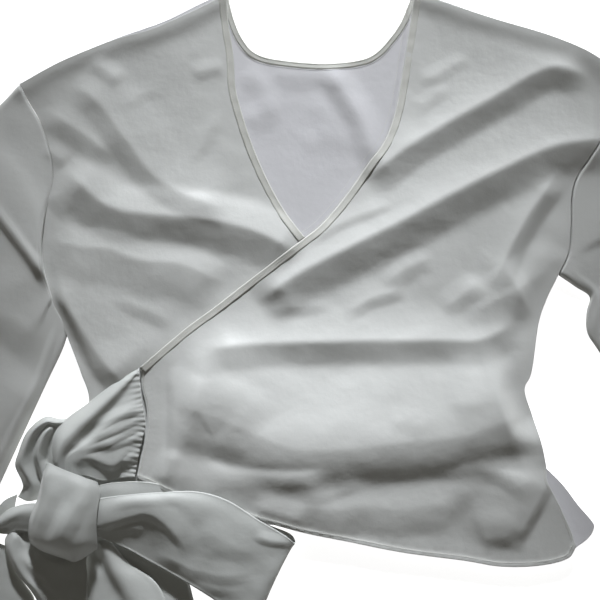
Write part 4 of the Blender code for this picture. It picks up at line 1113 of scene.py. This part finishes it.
FOLDS_KNOT = {
    "streak_1": ([(-238, -242), (-228, -222), (-216, -200), (-206, -182)], 1.9, 9, 10, 0.5, 0.6),
    "streak_2": ([(-258, -230), (-250, -208), (-242, -188), (-236, -172)], 1.2, 7, 9, 0.5, 0.6),
    "streak_3": ([(-216, -250), (-208, -232), (-201, -208), (-198, -192)], 1.1, 7, 6, 0.5, 0.6),
    "streak_4": ([(-248, -246), (-238, -228), (-230, -208), (-224, -194)], 1.0, 6, 8, 0.5, 0.6),
    "strip": ([(-266, -236), (-263, -218), (-255, -194), (-250, -174), (-244, -162)], 1.4, 4, 3, 0.4, 0.8),
}
FOLDS_TAIL = {
    "lit_edge": ([(-284, -238), (-278, -252), (-262, -272), (-240, -290)], 1.6, 10, 9, 0.5, 0.6),
    "mid": ([(-264, -248), (-244, -260), (-222, -266)], 1.4, 9, 10, 0.5, 0.6),
    "low": ([(-260, -286), (-240, -292), (-218, -290)], 1.2, 12, 10, 0.4, 0.6),
}
sash("sash_run_flat", "sash_run", SASH_RUN, along=60, across=12)
sash("sash_gathered_end", "sash_gather", SASH_GATHER,
     along=130, across=130, folds=FOLDS_GATHER, gathered=curve(GATHER_SEAM))
sash("sash_turn_ring", "sash_turn", SASH_TURN, along=110, across=80)
sash("bow_loop_left", "loop_left", LOOP_LEFT, along=120, across=40)
sash("tail_left_end", "tail_left", TAIL_LEFT, along=130, across=80, folds=FOLDS_TAIL)
sash("tail_far_layer", "tail_far", TAIL_FAR, along=60, across=40)
sash("tail_right_end", "tail_right", TAIL_RIGHT, along=110, across=60)
sash("tail_under_layer", "tail_under", TAIL_UNDER, along=60, across=30)
sash("bow_loop_right", "bow_loop", BOW_LOOP, along=300, across=90, folds=FOLDS_BOW,
     fold_rows=(0, 0.5))
sash("knot_wrap", "knot_band", KNOT_BAND, along=110, across=100, folds=FOLDS_KNOT)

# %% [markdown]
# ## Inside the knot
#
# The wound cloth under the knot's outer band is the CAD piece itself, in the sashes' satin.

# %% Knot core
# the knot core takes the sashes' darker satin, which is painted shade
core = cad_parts["knot_core"]
core.data.materials.clear()
core.data.materials.append(SATIN_SASH_PAINTED_SHADE)
print(core.name, "is kept, in", SATIN_SASH_PAINTED_SHADE.name)

# %% [markdown]
# ## Stitching
#
# One Geometry Nodes tree makes every row of stitches. It takes a line, steps along it at the
# spacing given, and lays a short thread along the line at each step.

# %% Stitch tree
def stitch_tree():
    """The tree that turns a line into a row of threads."""
    tree = bpy.data.node_groups.new("stitch_row", "GeometryNodeTree")
    tree.is_modifier = True
    tree.interface.new_socket("Line", in_out="INPUT", socket_type="NodeSocketGeometry")
    for title in ("Spacing", "Length", "Thickness"):
        tree.interface.new_socket(title, in_out="INPUT", socket_type="NodeSocketFloat")
    tree.interface.new_socket("Thread", in_out="INPUT", socket_type="NodeSocketMaterial")
    tree.interface.new_socket("Stitches", in_out="OUTPUT", socket_type="NodeSocketGeometry")

    def node(kind, **settings):
        made = tree.nodes.new(kind)
        for key, value in settings.items():
            setattr(made, key, value)
        return made

    given, result = node("NodeGroupInput"), node("NodeGroupOutput")
    steps = node("GeometryNodeResampleCurve", mode="LENGTH")
    tangent = node("GeometryNodeInputTangent")
    turn = node("FunctionNodeAlignRotationToVector", axis="Z")
    thread = node("GeometryNodeMeshCylinder")
    thread.inputs["Vertices"].default_value = 6
    place = node("GeometryNodeInstanceOnPoints")
    real, finish = node("GeometryNodeRealizeInstances"), node("GeometryNodeSetMaterial")
    for source, target in (
            (given.outputs["Line"], steps.inputs["Curve"]), (given.outputs["Spacing"],
                                                             steps.inputs["Length"]),
            (tangent.outputs[0], turn.inputs["Vector"]), (steps.outputs[0], place.inputs["Points"]),
            (given.outputs["Thickness"], thread.inputs["Radius"]), (given.outputs["Length"],
                                                                    thread.inputs["Depth"]),
            (thread.outputs["Mesh"], place.inputs["Instance"]), (turn.outputs[0], place.inputs["Rotation"]),
            (place.outputs[0], real.inputs[0]), (real.outputs[0], finish.inputs["Geometry"]),
            (given.outputs["Thread"], finish.inputs["Material"]), (finish.outputs[0], result.inputs[0])):
        tree.links.new(source, target)
    return tree


STITCH_TREE = stitch_tree()
print("The stitch tree has", len(STITCH_TREE.nodes), "nodes")
STITCH = {"Spacing": 2.6 * MM, "Length": 1.9 * MM, "Thickness": 0.17 * MM, "Thread": THREAD}


def stitches(name, line, top_of, height):
    """A row of stitches along a plan line, lying on a surface."""
    spline_data = bpy.data.curves.new(name + "_line", "CURVE")
    spline_data.dimensions = "3D"
    spline = spline_data.splines.new("POLY")
    spline.points.add(len(line) - 1)
    places = np.column_stack([line, top_of(line) + height]) * MM
    for point, xyz in zip(spline.points, places):
        point.co = (*xyz, 1)
    source = bpy.data.objects.new(name + "_line", spline_data)
    bpy.context.scene.collection.objects.link(source)
    modifier = source.modifiers.new("stitches", "NODES")
    modifier.node_group = STITCH_TREE
    for socket in STITCH_TREE.interface.items_tree:
        if socket.in_out == "INPUT" and socket.name in STITCH:
            modifier[socket.identifier] = STITCH[socket.name]
    ready = source.evaluated_get(bpy.context.evaluated_depsgraph_get())
    made = bpy.data.objects.new(name, bpy.data.meshes.new_from_object(ready))
    bpy.data.objects.remove(source)
    bpy.context.scene.collection.objects.link(made)
    made.data.materials.clear()
    made.data.materials.append(THREAD)
    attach(made, "root")
    print(name, len(made.data.polygons), "faces")


# %% [markdown]
# ## The rows
#
# Two rows hold each stretch of binding. The crossing edge, two hems, the gathered seam and the
# seam by the corner have one row each.

# %% Stitch rows
# the edge, how far inside it the row runs, the surface it lies on, and its height above that
STITCH_ROWS = {
    "neck_under_outer": (UNDER_NECK, 1.1, under_top, 0.75),
    "neck_under_inner": (UNDER_NECK, 6.0, under_top, 0.75),
    "neck_over_outer": (OVER_NECK[::-1], 1.1, over_top, 0.75),
    "neck_over_inner": (OVER_NECK[::-1], 6.0, over_top, 0.75),
    "neck_back_outer": (BACK_NECK, 1.1, back_surface, 0.75),
    "neck_back_inner": (BACK_NECK, 6.0, back_surface, 0.75),
    "wrap": (OVER_WRAP, 3.4, over_top, 0.6),
    "hem_over": (OVER_HEM, 4.2, over_top, 0.9),
    "hem_back": (BACK_HEM, 4.2, back_surface, 0.9),
    "gather": (GATHER_SEAM, 2.6, over_top, 0.1),
    "corner": (OVER_SIDE_SEAM, 2.4, over_top, 0.1),
}
for title, (edge, inset, top_of, height) in STITCH_ROWS.items():
    stitches("stitches_" + title, offset_line(curve(edge), -inset), top_of, height)

# %% [markdown]
# ## Floor, light and camera
#
# The floor is plain and nearly white. A large cool light stands beyond the neck, low enough to
# draw the folds, and the room fills the shadows with a weak warm light.

# %% Stage
CAMERA_HEIGHT = 1.35
VIEW_WIDTH = 0.6        # what the camera sees at the floor, in metres
SENSOR = 36.0
FLOOR_HALF = 12.0
FLOOR_DROP = 0.0005     # the floor is this far under the cloth
ROOM_COLOUR = (1.0, 0.96, 0.86, 1)
ROOM_STRENGTH = 0.085


def stage_floor():
    """A wide pale floor that glows a little, so that it stays nearly white."""
    mesh = bpy.data.meshes.new("floor")
    half = FLOOR_HALF
    mesh.from_pydata([(-half, -half, 0), (half, -half, 0), (half, half, 0), (-half, half, 0)], [],
                     [(0, 1, 2, 3)])
    floor = bpy.data.objects.new("floor", mesh)
    bpy.context.scene.collection.objects.link(floor)
    finish = Finish("pale_floor")
    finish.join(finish.shader, {"Base Color": (0.86, 0.86, 0.86, 1), "Roughness": 0.9,
                                "Specular IOR Level": 0.1,
                                "Emission Color": (1, 1, 1, 1), "Emission Strength": 0.9})
    mesh.materials.append(finish.material)
    floor.location.z = -FLOOR_DROP


def soft_spot(name, place, target, radius, power, colour, angle, squeeze):
    """A large soft spot, brightest at its middle. `squeeze` narrows the cone up and down."""
    data = bpy.data.lights.new(name, "SPOT")
    data.spot_size, data.spot_blend, data.shadow_soft_size = math.radians(angle), 1.0, radius
    data.energy, data.color = power, colour
    lamp = bpy.data.objects.new(name, data)
    lamp.location = place
    lamp.rotation_mode = "QUATERNION"
    lamp.rotation_quaternion = (Vector(target) - Vector(place)).to_track_quat("-Z", "Y")
    lamp.scale = (1, squeeze, 1)
    bpy.context.scene.collection.objects.link(lamp)


stage_floor()
soft_spot("window", place=(0.12, 3.65, 1.45), target=(0.015, 0.02, 0), radius=0.3, power=2450,
          colour=(0.93, 0.96, 1.0), angle=13.5, squeeze=0.42)
world = bpy.data.worlds.new("room")
world.use_nodes = True
world.node_tree.nodes["Background"].inputs["Color"].default_value = ROOM_COLOUR
world.node_tree.nodes["Background"].inputs["Strength"].default_value = ROOM_STRENGTH
bpy.context.scene.world = world

camera_data = bpy.data.cameras.new("camera")
camera_data.sensor_width = SENSOR
camera_data.lens = SENSOR * CAMERA_HEIGHT / VIEW_WIDTH
camera = bpy.data.objects.new("camera", camera_data)
camera.location = (0, 0, CAMERA_HEIGHT)
bpy.context.scene.collection.objects.link(camera)
bpy.context.scene.camera = camera
bpy.context.scene.view_settings.view_transform = "Standard"
print("The camera is", CAMERA_HEIGHT, "m above the floor and sees", VIEW_WIDTH, "m of it")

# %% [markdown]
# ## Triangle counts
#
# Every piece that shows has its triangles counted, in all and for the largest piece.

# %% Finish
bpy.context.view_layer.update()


def triangles(piece):
    """How many triangles a piece has once its faces are split."""
    shown = piece.evaluated_get(bpy.context.evaluated_depsgraph_get()).data
    return sum(len(face.vertices) - 2 for face in shown.polygons)


counts = {piece.name: triangles(piece) for piece in bpy.context.scene.objects
          if piece.type == "MESH" and not piece.hide_render}
print("Triangles:", sum(counts.values()), "in all, most in", max(counts, key=counts.get),
      max(counts.values()))
